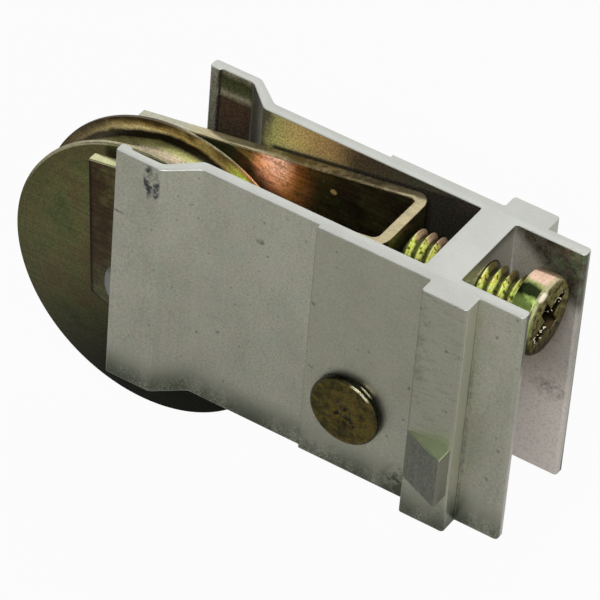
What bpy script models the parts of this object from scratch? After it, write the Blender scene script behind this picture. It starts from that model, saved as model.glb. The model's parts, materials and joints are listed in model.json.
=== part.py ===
# Sliding door roller: an extruded aluminium housing, a tilting steel yoke that carries a grooved
# wheel on a ball bearing, and a screw that sets the wheel's height.
# Metres. X runs along the housing from the wheel end (-X) to the screw end (+X), Y runs across it
# and Z is up. The origin is the middle of the web's top face, where the door's rail sits.

import math

import bmesh
import bpy

# Clearances
SEAT_GAP = 0.00015          # between a piece and the piece that it is fixed to
YOKE_SIDE_GAP = 0.0003      # between a yoke arm and the housing wall beside it
WHEEL_SIDE_GAP = 0.00095    # between a wheel face and the yoke arm beside it
HOLE_GAP = 0.0002           # round a rivet in its hole
BALL_GAP = 0.0001           # between a ball and its races
POCKET_GAP = 0.00016        # between a ball and its cage pocket
TIP_GAP = 0.0002            # between the screw's tip and the yoke

# Housing, cut from an extrusion that runs along Z
HOUSING_HEIGHT = 0.03175
INNER_HALF = 0.0057         # half the clear width between the walls
THIN_WALL = 0.0014          # wall from the jog to the step
STEP_HEIGHT = 0.00045       # extra thickness from the step to the rib
LEG_WALL = 0.00145
LEG_INSET = 0.0001          # legs' inner faces inside those of the walls
FLARE_WALL = 0.0011
FLARE_OFFSET = 0.00275      # how far the flared end stands outside the thin wall
FLARE_LENGTH = 0.0059
JOG_LENGTH = 0.0034
WEB_THICKNESS = 0.00435
WHEEL_END_REACH = 0.0365    # from the web's wheel side to the flared end
STEP_REACH = 0.0123         # from the web's wheel side to the step
RIB_START = 0.0018          # from the web's wheel side to the rib
RIB_WIDTH = 0.0057
RIB_HEIGHT = 0.001975
LEG_LENGTH = 0.0085
BEAD_LENGTH = 0.0012        # bead inside the tip of the flared end
BEAD_HEIGHT = 0.00035
TIP_ROUND = 0.0004
CORNER_ROUND = 0.0003
JOG_ROUND = 0.0012

# Barb that stands out of the near rib
BARB_HEIGHT = 0.0068
BARB_LIFT = 0.0053          # from the housing's foot to the barb's lower edge
BARB_RISE = 0.00235
BARB_ROOT = 0.0006          # how deep the barb is rooted in the rib
BARB_INSET = 0.0002         # barb's ends inside the rib's sides

# Yoke, bent from sheet, in its own frame: origin on the pivot, x along the arms
SHEET = 0.0014
BEND_INSIDE = 0.0007
YOKE_TILT = math.radians(9.75)
PIVOT_TO_WEB = 0.0066
PIVOT_LIFT = 0.0091         # pivot above the housing's foot
CROSS_CLEARANCE = 0.00197   # level yoke's cross piece to the web
CROSS_DEPTH = 0.0132        # cross piece below the arms' top edge
CROSS_LEAN = math.radians(11)     # cross piece from square with the arms' top edge
BEND_RELIEF = 0.0002        # arms' cut edge before the start of the bend
YOKE_TOP = 0.0212           # arms' top edge above the pivot
EAR_RADIUS = 0.0044         # round ear of each arm about the pivot
EAR_BLEND = 0.0003          # how far the arm's lower edge runs inside the ear
EAR_INSET = 0.00004         # coined face of the ear below the sheet's face
AXLE_REACH = 0.0289         # pivot to axle along the arms
AXLE_RISE = 0.00484         # axle above the pivot
ARM_END_TOP = 0.0041        # axle to the arms' end, at the top edge
ARM_END_LOW = 0.0062        # axle to the arms' end, at the chamfer
CHAMFER_TOP = 0.0021        # chamfer's upper corner below the axle
CHAMFER_LENGTH = 0.0051
CHAMFER_DROP = 0.00325
ARM_ROUND = 0.0006

# Wheel
WHEEL_RADIUS = 0.0176
RIM_LAND = 0.0005
GROOVE_DEPTH = 0.0025
RIM_BREAK = 0.00012
GROOVE_STEPS = 12

# Ball bearing
BEARING_RADIUS = 0.0054
BEARING_INSET = 0.0005      # bearing face behind the wheel's face
BALL_RADIUS = 0.0008
BALL_COUNT = 9
RACE_SHOULDER = 0.00052     # ball circle to a race's shoulder
CAGE_WALL = 0.0006
CAGE_BACK = 0.0005          # solid ring behind the pockets
CAGE_FRONT = 0.0006         # fingers in front of the ball centres
SHIELD_THICKNESS = 0.0003
SHIELD_DEPTH = 0.00025      # shield behind the bearing's face
SHIELD_LIP = 0.0003         # step that the shield sits in, in the outer race
RACE_BREAK = 0.0002

# Rivets
AXLE_RADIUS = 0.0023
AXLE_HEAD_RADIUS = 0.0039
AXLE_HEAD = 0.0012
PIVOT_RADIUS = 0.00238
PIVOT_HEAD_RADIUS = 0.00435
PIVOT_HEAD = 0.0009
HEAD_BREAK = 0.0003
DIMPLE_RADIUS = 0.0011
DIMPLE_DEPTH = 0.0002
SLEEVE_WALL = 0.0011

# Adjusting screw
SCREW_DROP = 0.00505        # screw's axis below the housing's top
SHANK_RADIUS = 0.00295
THREAD_GAP = 0.0004         # round the shank in the web, which leaves room for its thread
TIP_RADIUS = 0.0019
TIP_CROWN = 0.0003          # dome on the tip's end face
TIP_CHAMFER = 0.00075
HEAD_SIDE_GAP = 0.0011      # screw head to the leg beside it
HEAD_LIFT = 0.0050          # head's underside from the web
SCREW_HEAD = 0.0029
SCREW_BREAK = 0.0007
SLOT_WIDTH = 0.0012
SLOT_DEPTH = 0.0013
SLOT_MARGIN = 0.0006        # slot's end to the edge of the head's flat face
CROSS_WIDTH = 0.0014
CROSS_SPAN = 0.0046
CROSS_SINK = 0.0021
SLOT_TURN = math.radians(32)

# Facets
WHEEL_STEPS = 64
SMALL_STEPS = 32
RIVET_STEPS = 40
ARC_STEPS = 5
BALL_SEGMENTS = 12
BALL_RINGS = 8
CROWN_STEPS = 4
SIDE_SHARE = 0.48           # largest share of a side that a round corner takes
WELD = 0.000001
FLAT = math.radians(0.1)    # faces within this angle are one flat face
SHARP = math.radians(30)    # faces beyond this angle meet in a sharp edge

# Ways that a piece is turned
ACROSS = (-math.pi / 2, 0, 0)     # own Z axis onto +Y
UPRIGHT = (math.pi / 2, 0, 0)     # a flat outline stood up in the XZ plane
ALONG = (0, math.pi / 2, 0)       # own Z axis onto +X

# Places that follow from the sizes above
WEB_LEFT = -WEB_THICKNESS / 2
WEB_RIGHT = WEB_THICKNESS / 2
FOOT = -HOUSING_HEIGHT
THIN_HALF = INNER_HALF + THIN_WALL
THICK_HALF = THIN_HALF + STEP_HEIGHT
RIB_HALF = THICK_HALF + RIB_HEIGHT
RIB_LEFT = WEB_LEFT + RIB_START
RIB_RIGHT = RIB_LEFT + RIB_WIDTH
FLARE_HALF = THIN_HALF + FLARE_OFFSET
PIVOT_X = WEB_LEFT - PIVOT_TO_WEB
PIVOT_Z = FOOT + PIVOT_LIFT
ARM_OUTSIDE = INNER_HALF - YOKE_SIDE_GAP
ARM_INSIDE = ARM_OUTSIDE - SHEET
CROSS_FACE = PIVOT_TO_WEB - CROSS_CLEARANCE
WHEEL_HALF = ARM_INSIDE - WHEEL_SIDE_GAP
BEARING_HALF = WHEEL_HALF - BEARING_INSET
RACE_BORE = AXLE_RADIUS + SEAT_GAP
BALL_CIRCLE = (RACE_BORE + BEARING_RADIUS) / 2
SCREW_Z = -SCREW_DROP
HEAD_RADIUS = INNER_HALF - HEAD_SIDE_GAP

for item in list(bpy.data.objects):
    bpy.data.objects.remove(item)

parts = bpy.data.collections.new("sliding_door_roller")
cutters = bpy.data.collections.new("cutters")
bpy.context.scene.collection.children.link(parts)
bpy.context.scene.collection.children.link(cutters)


def metal(name, colour, roughness):
    # A bare or plated metal surface
    material = bpy.data.materials.new(name)
    material.use_nodes = True
    shader = material.node_tree.nodes["Principled BSDF"]
    shader.inputs["Base Color"].default_value = (*colour, 1)
    shader.inputs["Metallic"].default_value = 1
    shader.inputs["Roughness"].default_value = roughness
    return material


def empty(name, location, rotation=(0, 0, 0), parent=None):
    # A joint axis that pieces are parented to
    item = bpy.data.objects.new(name, None)
    item.location = location
    item.rotation_euler = rotation
    item.parent = parent
    parts.objects.link(item)
    return item


def place(item, parent=None, location=(0, 0, 0), rotation=(0, 0, 0)):
    item.parent = parent
    item.location = location
    item.rotation_euler = rotation
    return item


def finish(item, material):
    # Gives a piece its material and smooth shading with sharp corners
    item.data.materials.clear()
    item.data.materials.append(material)
    if item.data.polygons:
        item.data.shade_smooth()
        item.data.set_sharp_from_angle(angle=SHARP)
    return item


def as_cutter(item):
    item.hide_render = True
    item.display_type = "WIRE"
    return item


def boolean(item, other, operation):
    modifier = item.modifiers.new(operation.lower() + "_" + other.name, "BOOLEAN")
    modifier.operation = operation
    modifier.solver = "EXACT"
    modifier.object = other


def arc_corner(before, corner, after, radius):
    # Points of a round corner, with the radius limited by the shorter of its two sides
    side_in = (before[0] - corner[0], before[1] - corner[1])
    side_out = (after[0] - corner[0], after[1] - corner[1])
    length_in = math.hypot(*side_in)
    length_out = math.hypot(*side_out)
    unit_in = (side_in[0] / length_in, side_in[1] / length_in)
    unit_out = (side_out[0] / length_out, side_out[1] / length_out)
    half = math.acos(unit_in[0] * unit_out[0] + unit_in[1] * unit_out[1]) / 2
    radius = min(radius, SIDE_SHARE * min(length_in, length_out) * math.tan(half))
    middle = (unit_in[0] + unit_out[0], unit_in[1] + unit_out[1])
    reach = radius / math.sin(half) / math.hypot(*middle)
    centre = (corner[0] + middle[0] * reach, corner[1] + middle[1] * reach)
    tangent = radius / math.tan(half)
    first = (corner[0] + unit_in[0] * tangent, corner[1] + unit_in[1] * tangent)
    start = math.atan2(first[1] - centre[1], first[0] - centre[0])
    turn = math.pi - 2 * half
    if unit_in[0] * unit_out[1] - unit_in[1] * unit_out[0] > 0:
        turn = -turn
    points = []
    for step in range(ARC_STEPS + 1):
        angle = start + turn * step / ARC_STEPS
        points.append((centre[0] + radius * math.cos(angle), centre[1] + radius * math.sin(angle)))
    return points


def rounded(corners):
    # An outline through (x, y, radius) corners, with an arc at each corner that has a radius
    points = []
    for index, (x, y, radius) in enumerate(corners):
        if radius == 0:
            points.append((x, y))
            continue
        before = corners[index - 1][:2]
        after = corners[(index + 1) % len(corners)][:2]
        points.extend(arc_corner(before, (x, y), after, radius))
    return points


def extruded(name, outline, depth, collection):
    # A flat outline in its own XY plane, with half its depth on each side
    curve = bpy.data.curves.new(name + "_outline", "CURVE")
    curve.dimensions = "2D"
    curve.fill_mode = "BOTH"
    curve.extrude = depth / 2
    spline = curve.splines.new("POLY")
    spline.points.add(len(outline) - 1)
    for point, (x, y) in zip(spline.points, outline):
        point.co = (x, y, 0, 1)
    spline.use_cyclic_u = True
    drawing = bpy.data.objects.new(name + "_outline", curve)
    collection.objects.link(drawing)
    view = bpy.context.evaluated_depsgraph_get()
    mesh = bpy.data.meshes.new_from_object(drawing.evaluated_get(view))
    mesh.name = name
    shell = bmesh.new()
    shell.from_mesh(mesh)
    bmesh.ops.remove_doubles(shell, verts=shell.verts, dist=WELD)
    bmesh.ops.dissolve_limit(shell, angle_limit=FLAT, verts=shell.verts, edges=shell.edges)
    shell.to_mesh(mesh)
    shell.free()
    item = bpy.data.objects.new(name, mesh)
    item.matrix_world = drawing.matrix_world
    collection.objects.link(item)
    bpy.data.objects.remove(drawing)
    return item


def turned(name, profile, steps, collection, closed=True):
    # A profile of (radius, height) points swept about its own Z axis
    mesh = bpy.data.meshes.new(name)
    edges = [(index, index + 1) for index in range(len(profile) - 1)]
    if closed:
        edges.append((len(profile) - 1, 0))
    mesh.from_pydata([(radius, 0, height) for radius, height in profile], edges, [])
    item = bpy.data.objects.new(name, mesh)
    collection.objects.link(item)
    sweep = item.modifiers.new("sweep", "SCREW")
    sweep.axis = "Z"
    sweep.steps = steps
    sweep.render_steps = steps
    sweep.use_merge_vertices = True
    sweep.merge_threshold = WELD
    sweep.use_smooth_shade = True
    return item


def cylinder(name, radius, length, steps, collection):
    mesh = bpy.data.meshes.new(name)
    shell = bmesh.new()
    bmesh.ops.create_cone(
        shell, cap_ends=True, segments=steps, radius1=radius, radius2=radius, depth=length
    )
    shell.to_mesh(mesh)
    shell.free()
    item = bpy.data.objects.new(name, mesh)
    collection.objects.link(item)
    return item


def box(name, size, collection):
    mesh = bpy.data.meshes.new(name)
    shell = bmesh.new()
    bmesh.ops.create_cube(shell, size=1)
    bmesh.ops.scale(shell, vec=size, verts=shell.verts)
    shell.to_mesh(mesh)
    shell.free()
    item = bpy.data.objects.new(name, mesh)
    collection.objects.link(item)
    return item


def ball_mesh(name, radius, segments, rings):
    mesh = bpy.data.meshes.new(name)
    shell = bmesh.new()
    bmesh.ops.create_uvsphere(shell, u_segments=segments, v_segments=rings, radius=radius)
    shell.to_mesh(mesh)
    shell.free()
    return mesh


def ring_profile(inside, outside, low, high):
    return [(outside, high), (outside, low), (inside, low), (inside, high)]


def wall_corners():
    # One wall of the housing in plan, from the screw side of the web round to its wheel side
    leg_end = WEB_RIGHT + LEG_LENGTH
    leg_inside = INNER_HALF - LEG_INSET
    leg_half = leg_inside + LEG_WALL
    step = WEB_LEFT - STEP_REACH
    tip = WEB_LEFT - WHEEL_END_REACH
    flare_end = tip + FLARE_LENGTH
    jog_end = flare_end + JOG_LENGTH
    flare_inside = FLARE_HALF - FLARE_WALL
    bead_inside = flare_inside - BEAD_HEIGHT
    slope = math.atan2(FLARE_OFFSET, JOG_LENGTH)
    shift_out = FLARE_WALL * math.tan(slope / 2)
    shift_in = THIN_WALL * math.tan(slope / 2)
    return [
        (WEB_RIGHT, leg_inside, CORNER_ROUND),
        (leg_end, leg_inside, TIP_ROUND),
        (leg_end, leg_half, TIP_ROUND),
        (RIB_RIGHT, leg_half, CORNER_ROUND),
        (RIB_RIGHT, RIB_HALF, TIP_ROUND),
        (RIB_LEFT, RIB_HALF, TIP_ROUND),
        (RIB_LEFT, THICK_HALF, CORNER_ROUND),
        (step, THICK_HALF, 0),
        (step, THIN_HALF, 0),
        (jog_end, THIN_HALF, JOG_ROUND),
        (flare_end, FLARE_HALF, JOG_ROUND),
        (tip, FLARE_HALF, TIP_ROUND),
        (tip, bead_inside, TIP_ROUND),
        (tip + BEAD_LENGTH, bead_inside, TIP_ROUND),
        (tip + BEAD_LENGTH + BEAD_HEIGHT, flare_inside, 0),
        (flare_end - shift_out, flare_inside, JOG_ROUND),
        (jog_end - shift_in, INNER_HALF, JOG_ROUND),
        (WEB_LEFT, INNER_HALF, CORNER_ROUND),
    ]


def build_barb():
    # Wedge that is flush at the rib's wheel side and stands out at its screw side
    left = RIB_LEFT + BARB_INSET
    right = RIB_RIGHT - BARB_INSET
    outline = [
        (left, BARB_ROOT / 2 - RIB_HALF),
        (left, BARB_ROOT - RIB_HALF),
        (right, BARB_ROOT - RIB_HALF),
        (right, -BARB_RISE - RIB_HALF),
    ]
    barb = as_cutter(extruded("barb", outline, BARB_HEIGHT, cutters))
    return place(barb, location=(0, 0, FOOT + BARB_LIFT + BARB_HEIGHT / 2))


def build_housing():
    far_wall = wall_corners()
    near_wall = [(x, -y, radius) for x, y, radius in reversed(far_wall)]
    housing = extruded("housing", rounded(far_wall + near_wall), HOUSING_HEIGHT, parts)
    place(housing, location=(0, 0, FOOT / 2))
    boolean(housing, build_barb(), "UNION")
    pivot_hole = cylinder(
        "pivot_hole", PIVOT_RADIUS + HOLE_GAP, 4 * THICK_HALF, RIVET_STEPS, cutters
    )
    place(as_cutter(pivot_hole), location=(PIVOT_X, 0, PIVOT_Z), rotation=ACROSS)
    boolean(housing, pivot_hole, "DIFFERENCE")
    screw_hole = cylinder(
        "screw_hole", SHANK_RADIUS + THREAD_GAP, 2 * WEB_THICKNESS, SMALL_STEPS, cutters
    )
    place(as_cutter(screw_hole), location=(0, 0, SCREW_Z), rotation=ALONG)
    boolean(housing, screw_hole, "DIFFERENCE")
    return finish(housing, metal("housing", (0.62, 0.61, 0.58), 0.42))


def yoke_strip(reach):
    # The bent strip in plan: two arms joined by the cross piece
    bend_outside = BEND_INSIDE + SHEET
    cross_inside = CROSS_FACE - SHEET
    return rounded([
        (-reach, ARM_OUTSIDE, 0),
        (-reach, ARM_INSIDE, 0),
        (cross_inside, ARM_INSIDE, BEND_INSIDE),
        (cross_inside, -ARM_INSIDE, BEND_INSIDE),
        (-reach, -ARM_INSIDE, 0),
        (-reach, -ARM_OUTSIDE, 0),
        (CROSS_FACE, -ARM_OUTSIDE, bend_outside),
        (CROSS_FACE, ARM_OUTSIDE, bend_outside),
    ])


def arm_outline():
    # The arms from the side: the cut corner below the axle, the lower edge down to the ears, the
    # cut edge up beside the bend, and the cross piece's foot
    low = AXLE_RISE - CHAMFER_TOP
    end_low = -AXLE_REACH - ARM_END_LOW
    ear_low = EAR_BLEND - EAR_RADIUS
    cross_low = YOKE_TOP - CROSS_DEPTH
    slope = math.tan(CROSS_LEAN)
    cut_edge = CROSS_FACE - SHEET - BEND_INSIDE - BEND_RELIEF
    return rounded([
        (-AXLE_REACH - ARM_END_TOP, YOKE_TOP, ARM_ROUND),
        (end_low, low, ARM_ROUND),
        (end_low + CHAMFER_LENGTH, low - CHAMFER_DROP, ARM_ROUND),
        (cut_edge - (YOKE_TOP - ear_low) * slope, ear_low, 0),
        (cut_edge - CROSS_DEPTH * slope, cross_low, 0),
        (2 * CROSS_FACE, cross_low, 0),
        (2 * CROSS_FACE, YOKE_TOP, 0),
    ])


def build_yoke(pivot):
    reach = AXLE_REACH + ARM_END_LOW + 2 * ARM_ROUND
    tall = 2 * (YOKE_TOP + EAR_RADIUS)
    yoke = extruded("yoke", yoke_strip(reach), tall, parts)
    for vertex in yoke.data.vertices:
        vertex.co.x += (vertex.co.z - YOKE_TOP) * math.tan(CROSS_LEAN)
    place(yoke, pivot)
    sides = extruded("yoke_sides", arm_outline(), 4 * ARM_OUTSIDE, cutters)
    place(as_cutter(sides), pivot, rotation=UPRIGHT)
    boolean(yoke, sides, "INTERSECT")
    for name, side in (("ear_near", -1), ("ear_far", 1)):
        ear = cylinder(name, EAR_RADIUS, SHEET - 2 * EAR_INSET, RIVET_STEPS, cutters)
        place(as_cutter(ear), pivot, (0, side * (ARM_OUTSIDE - SHEET / 2), 0), ACROSS)
        boolean(yoke, ear, "UNION")
    for name, radius, spot in (
        ("yoke_pivot_hole", PIVOT_RADIUS, (0, 0, 0)),
        ("yoke_axle_hole", AXLE_RADIUS, (-AXLE_REACH, 0, AXLE_RISE)),
    ):
        hole = cylinder(name, radius + HOLE_GAP, 4 * ARM_OUTSIDE, RIVET_STEPS, cutters)
        place(as_cutter(hole), pivot, spot, ACROSS)
        boolean(yoke, hole, "DIFFERENCE")
    return finish(yoke, metal("yoke", (0.55, 0.47, 0.26), 0.28))


def build_wheel(axle):
    # A turned steel disc with a round groove between two thin rims
    bore = BEARING_RADIUS + SEAT_GAP
    groove_half = WHEEL_HALF - RIM_LAND
    profile = [(WHEEL_RADIUS - RIM_BREAK, WHEEL_HALF), (WHEEL_RADIUS, WHEEL_HALF - RIM_BREAK)]
    for step in range(GROOVE_STEPS + 1):
        angle = math.pi * step / GROOVE_STEPS
        depth = GROOVE_DEPTH * math.sin(angle)
        profile.append((WHEEL_RADIUS - depth, groove_half * math.cos(angle)))
    profile.append((WHEEL_RADIUS, RIM_BREAK - WHEEL_HALF))
    profile.append((WHEEL_RADIUS - RIM_BREAK, -WHEEL_HALF))
    profile.append((bore, -WHEEL_HALF))
    profile.append((bore, WHEEL_HALF))
    wheel = place(turned("wheel", profile, WHEEL_STEPS, parts), axle)
    return finish(wheel, metal("wheel", (0.50, 0.44, 0.25), 0.30))


def raceway(shoulder, towards):
    # The ball groove of a race, from +Z to -Z: an arc round the ball circle that ends at the shoulder
    radius = BALL_RADIUS + BALL_GAP
    half = math.acos((shoulder - BALL_CIRCLE) / towards / radius)
    points = []
    for step in range(ARC_STEPS + 2):
        angle = half * (1 - 2 * step / (ARC_STEPS + 1))
        points.append((BALL_CIRCLE + towards * radius * math.cos(angle), radius * math.sin(angle)))
    return points


def build_outer_race(axle):
    shoulder = BALL_CIRCLE + RACE_SHOULDER
    step_depth = SHIELD_DEPTH + SHIELD_THICKNESS + SEAT_GAP
    lip = shoulder + SHIELD_LIP
    ledge = BEARING_HALF - step_depth
    profile = [
        (BEARING_RADIUS - RACE_BREAK, BEARING_HALF),
        (BEARING_RADIUS, BEARING_HALF - RACE_BREAK),
        (BEARING_RADIUS, RACE_BREAK - BEARING_HALF),
        (BEARING_RADIUS - RACE_BREAK, -BEARING_HALF),
        (lip, -BEARING_HALF),
        (lip, -ledge),
        (shoulder, -ledge),
    ]
    profile.extend(reversed(raceway(shoulder, 1)))
    profile.extend([(shoulder, ledge), (lip, ledge), (lip, BEARING_HALF)])
    race = place(turned("bearing_outer_race", profile, SMALL_STEPS, parts), axle)
    return finish(race, metal("bearing_outer_race", (0.60, 0.60, 0.60), 0.20))


def build_inner_race(axle):
    shoulder = BALL_CIRCLE - RACE_SHOULDER
    profile = [(shoulder, BEARING_HALF)]
    profile.extend(raceway(shoulder, -1))
    profile.extend([(shoulder, -BEARING_HALF), (RACE_BORE, -BEARING_HALF), (RACE_BORE, BEARING_HALF)])
    race = place(turned("bearing_inner_race", profile, SMALL_STEPS, parts), axle)
    return finish(race, metal("bearing_inner_race", (0.58, 0.58, 0.58), 0.20))


def ball_spot(index):
    angle = 2 * math.pi * index / BALL_COUNT
    return (BALL_CIRCLE * math.cos(angle), BALL_CIRCLE * math.sin(angle), 0)


def build_balls(axle):
    mesh = ball_mesh("bearing_ball", BALL_RADIUS, BALL_SEGMENTS, BALL_RINGS)
    steel = metal("bearing_ball", (0.66, 0.66, 0.66), 0.12)
    for index in range(BALL_COUNT):
        ball = bpy.data.objects.new("bearing_ball_" + str(index + 1), mesh)
        parts.objects.link(ball)
        finish(place(ball, axle, ball_spot(index)), steel)


def build_cage(axle):
    # Crown cage: a ring behind the balls with fingers that stand between them
    pocket = BALL_RADIUS + POCKET_GAP
    inside = BALL_CIRCLE - CAGE_WALL / 2
    outside = BALL_CIRCLE + CAGE_WALL / 2
    profile = ring_profile(inside, outside, -CAGE_FRONT, pocket + CAGE_BACK)
    cage = place(turned("bearing_cage", profile, 4 * BALL_COUNT, parts), axle)
    pocket_mesh = ball_mesh("cage_pocket", pocket, BALL_SEGMENTS, BALL_RINGS)
    for index in range(BALL_COUNT):
        hollow = bpy.data.objects.new("cage_pocket_" + str(index + 1), pocket_mesh)
        cutters.objects.link(hollow)
        place(as_cutter(hollow), axle, ball_spot(index))
        boolean(cage, hollow, "DIFFERENCE")
    return finish(cage, metal("bearing_cage", (0.52, 0.50, 0.46), 0.35))


def build_shields(axle):
    # Thin rings that sit in the outer race's steps and clear the inner race
    inside = BALL_CIRCLE - RACE_SHOULDER + HOLE_GAP
    outside = BALL_CIRCLE + RACE_SHOULDER + SHIELD_LIP - SEAT_GAP
    face = BEARING_HALF - SHIELD_DEPTH
    profile = ring_profile(inside, outside, -SHIELD_THICKNESS / 2, SHIELD_THICKNESS / 2)
    steel = metal("bearing_shield", (0.55, 0.55, 0.54), 0.30)
    for name, side in (("bearing_shield_near", -1), ("bearing_shield_far", 1)):
        shield = turned(name, profile, SMALL_STEPS, parts)
        place(shield, axle, (0, 0, side * (face - SHIELD_THICKNESS / 2)))
        finish(shield, steel)


def build_spacers(axle):
    # Collars that hold the inner race midway between the arms
    length = ARM_INSIDE - BEARING_HALF - 2 * SEAT_GAP
    middle = (ARM_INSIDE + BEARING_HALF) / 2
    profile = ring_profile(RACE_BORE, BALL_CIRCLE - RACE_SHOULDER, -length / 2, length / 2)
    steel = metal("axle_spacer", (0.52, 0.50, 0.44), 0.32)
    for name, side in (("axle_spacer_near", -1), ("axle_spacer_far", 1)):
        spacer = turned(name, profile, SMALL_STEPS, parts)
        finish(place(spacer, axle, (0, 0, side * middle)), steel)


def rivet_profile(shank, head, head_height, seat, dimple):
    # A shank with a flat head at each end, from the far head's middle to the near head's middle
    top = seat + head_height
    far_half = [(0, top)]
    if dimple:
        far_half = [
            (0, top - DIMPLE_DEPTH),
            (DIMPLE_RADIUS - DIMPLE_DEPTH, top - DIMPLE_DEPTH),
            (DIMPLE_RADIUS, top),
        ]
    far_half.extend([(head - HEAD_BREAK, top), (head, top - HEAD_BREAK), (head, seat), (shank, seat)])
    near_half = [(radius, -height) for radius, height in reversed(far_half)]
    return far_half + near_half


def build_axle_rivet(axle):
    profile = rivet_profile(AXLE_RADIUS, AXLE_HEAD_RADIUS, AXLE_HEAD, ARM_OUTSIDE + SEAT_GAP, False)
    rivet = place(turned("axle_rivet", profile, RIVET_STEPS, parts, closed=False), axle)
    return finish(rivet, metal("axle_rivet", (0.62, 0.61, 0.57), 0.30))


def build_pivot_rivet():
    profile = rivet_profile(PIVOT_RADIUS, PIVOT_HEAD_RADIUS, PIVOT_HEAD, THICK_HALF + SEAT_GAP, True)
    rivet = turned("pivot_rivet", profile, RIVET_STEPS, parts, closed=False)
    place(rivet, location=(PIVOT_X, 0, PIVOT_Z), rotation=ACROSS)
    return finish(rivet, metal("pivot_rivet", (0.46, 0.38, 0.18), 0.30))


def build_pivot_sleeve():
    # Tube on the pivot rivet that keeps the yoke's arms apart
    inside = PIVOT_RADIUS + HOLE_GAP
    half = ARM_INSIDE - SEAT_GAP
    sleeve = turned(
        "pivot_sleeve", ring_profile(inside, inside + SLEEVE_WALL, -half, half), SMALL_STEPS, parts
    )
    place(sleeve, location=(PIVOT_X, 0, PIVOT_Z), rotation=ACROSS)
    return finish(sleeve, metal("pivot_sleeve", (0.50, 0.46, 0.34), 0.34))


def screw_tip(dome):
    # Where the domed tip meets the cross piece, less its gap, measured square to the cross piece's
    # face: the face's distance from the pivot, the gap and the dome's radius
    lean = YOKE_TILT - CROSS_LEAN
    face = CROSS_FACE * math.cos(CROSS_LEAN) - YOKE_TOP * math.sin(CROSS_LEAN)
    height = SCREW_Z - PIVOT_Z
    centre = (face + TIP_GAP + dome - height * math.sin(lean)) / math.cos(lean)
    return PIVOT_X + centre - dome


def build_screw():
    dome = (TIP_RADIUS ** 2 + TIP_CROWN ** 2) / (2 * TIP_CROWN)
    tip = screw_tip(dome)
    seat = WEB_RIGHT + HEAD_LIFT
    face = seat + SCREW_HEAD
    flat = HEAD_RADIUS - SCREW_BREAK
    profile = [
        (0, face),
        (flat, face),
        (HEAD_RADIUS, face - SCREW_BREAK),
        (HEAD_RADIUS, seat),
        (SHANK_RADIUS, seat),
        (SHANK_RADIUS, tip + TIP_CROWN + TIP_CHAMFER),
    ]
    for step in range(CROWN_STEPS, -1, -1):
        angle = math.asin(TIP_RADIUS / dome) * step / CROWN_STEPS
        profile.append((dome * math.sin(angle), tip + dome * (1 - math.cos(angle))))
    screw = turned("adjusting_screw", profile, RIVET_STEPS, parts, closed=False)
    place(screw, location=(0, 0, SCREW_Z), rotation=ALONG)
    slot_length = 2 * (flat - SLOT_MARGIN)
    for name, size, turn in (
        ("slot_cut", (slot_length, SLOT_WIDTH, 2 * SLOT_DEPTH), SLOT_TURN),
        ("cross_cut_1", (CROSS_SPAN, CROSS_WIDTH, 2 * CROSS_SINK), SLOT_TURN),
        ("cross_cut_2", (CROSS_SPAN, CROSS_WIDTH, 2 * CROSS_SINK), SLOT_TURN + math.pi / 2),
    ):
        cut = as_cutter(box(name, size, cutters))
        place(cut, screw, (0, 0, face), (0, 0, turn))
        boolean(screw, cut, "DIFFERENCE")
    return finish(screw, metal("adjusting_screw", (0.58, 0.50, 0.27), 0.26))


pivot_axis = empty("yoke_pivot", (PIVOT_X, 0, PIVOT_Z), (0, -YOKE_TILT, 0))
axle_axis = empty("wheel_axle", (-AXLE_REACH, 0, AXLE_RISE), ACROSS, pivot_axis)

build_housing()
build_pivot_rivet()
build_pivot_sleeve()
build_yoke(pivot_axis)
build_axle_rivet(axle_axis)
build_spacers(axle_axis)
build_inner_race(axle_axis)
build_balls(axle_axis)
build_cage(axle_axis)
build_outer_race(axle_axis)
build_shields(axle_axis)
build_wheel(axle_axis)
build_screw()
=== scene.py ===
import json
import math
import bmesh
import bpy
import numpy as np
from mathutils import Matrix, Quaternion, Vector


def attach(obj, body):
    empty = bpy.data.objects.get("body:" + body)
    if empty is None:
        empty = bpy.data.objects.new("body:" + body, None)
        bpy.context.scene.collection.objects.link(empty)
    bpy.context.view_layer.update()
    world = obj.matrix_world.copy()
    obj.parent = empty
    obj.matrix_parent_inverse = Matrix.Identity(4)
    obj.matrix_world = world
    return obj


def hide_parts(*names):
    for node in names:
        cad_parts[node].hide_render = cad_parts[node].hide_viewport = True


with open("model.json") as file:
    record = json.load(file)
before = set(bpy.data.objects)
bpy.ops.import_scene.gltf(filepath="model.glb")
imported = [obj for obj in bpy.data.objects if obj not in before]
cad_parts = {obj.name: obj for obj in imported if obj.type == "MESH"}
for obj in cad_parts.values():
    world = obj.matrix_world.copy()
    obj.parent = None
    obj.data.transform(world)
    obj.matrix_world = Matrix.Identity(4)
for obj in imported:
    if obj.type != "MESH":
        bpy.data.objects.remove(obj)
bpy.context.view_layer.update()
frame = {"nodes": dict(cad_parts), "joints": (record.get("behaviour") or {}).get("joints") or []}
joints = {joint["name"]: joint for joint in frame["joints"]}
pivot = np.array(joints["yoke_tilt"]["pos_m"])  # middle of the pivot rivet
axle = np.array(joints["wheel_spin"]["pos_m"])  # middle of the wheel
mm = 0.001
weld = 1e-7  # points closer than this are one point
pole = 0.02  # radius of the ring that closes a pole, in mm
sideShare = 0.48  # largest share of a side that a rounded corner takes
yokeTilt = math.radians(9.75)
yokeTop = 21.2  # the yoke's upper edge above the pivot, in mm
yokeUp = (-math.sin(yokeTilt), 0, math.cos(yokeTilt))


class Named(dict):
    # a dictionary whose entries are also its attributes
    __getattr__, __setattr__ = dict.__getitem__, dict.__setitem__


# meshes from whole arrays

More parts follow.
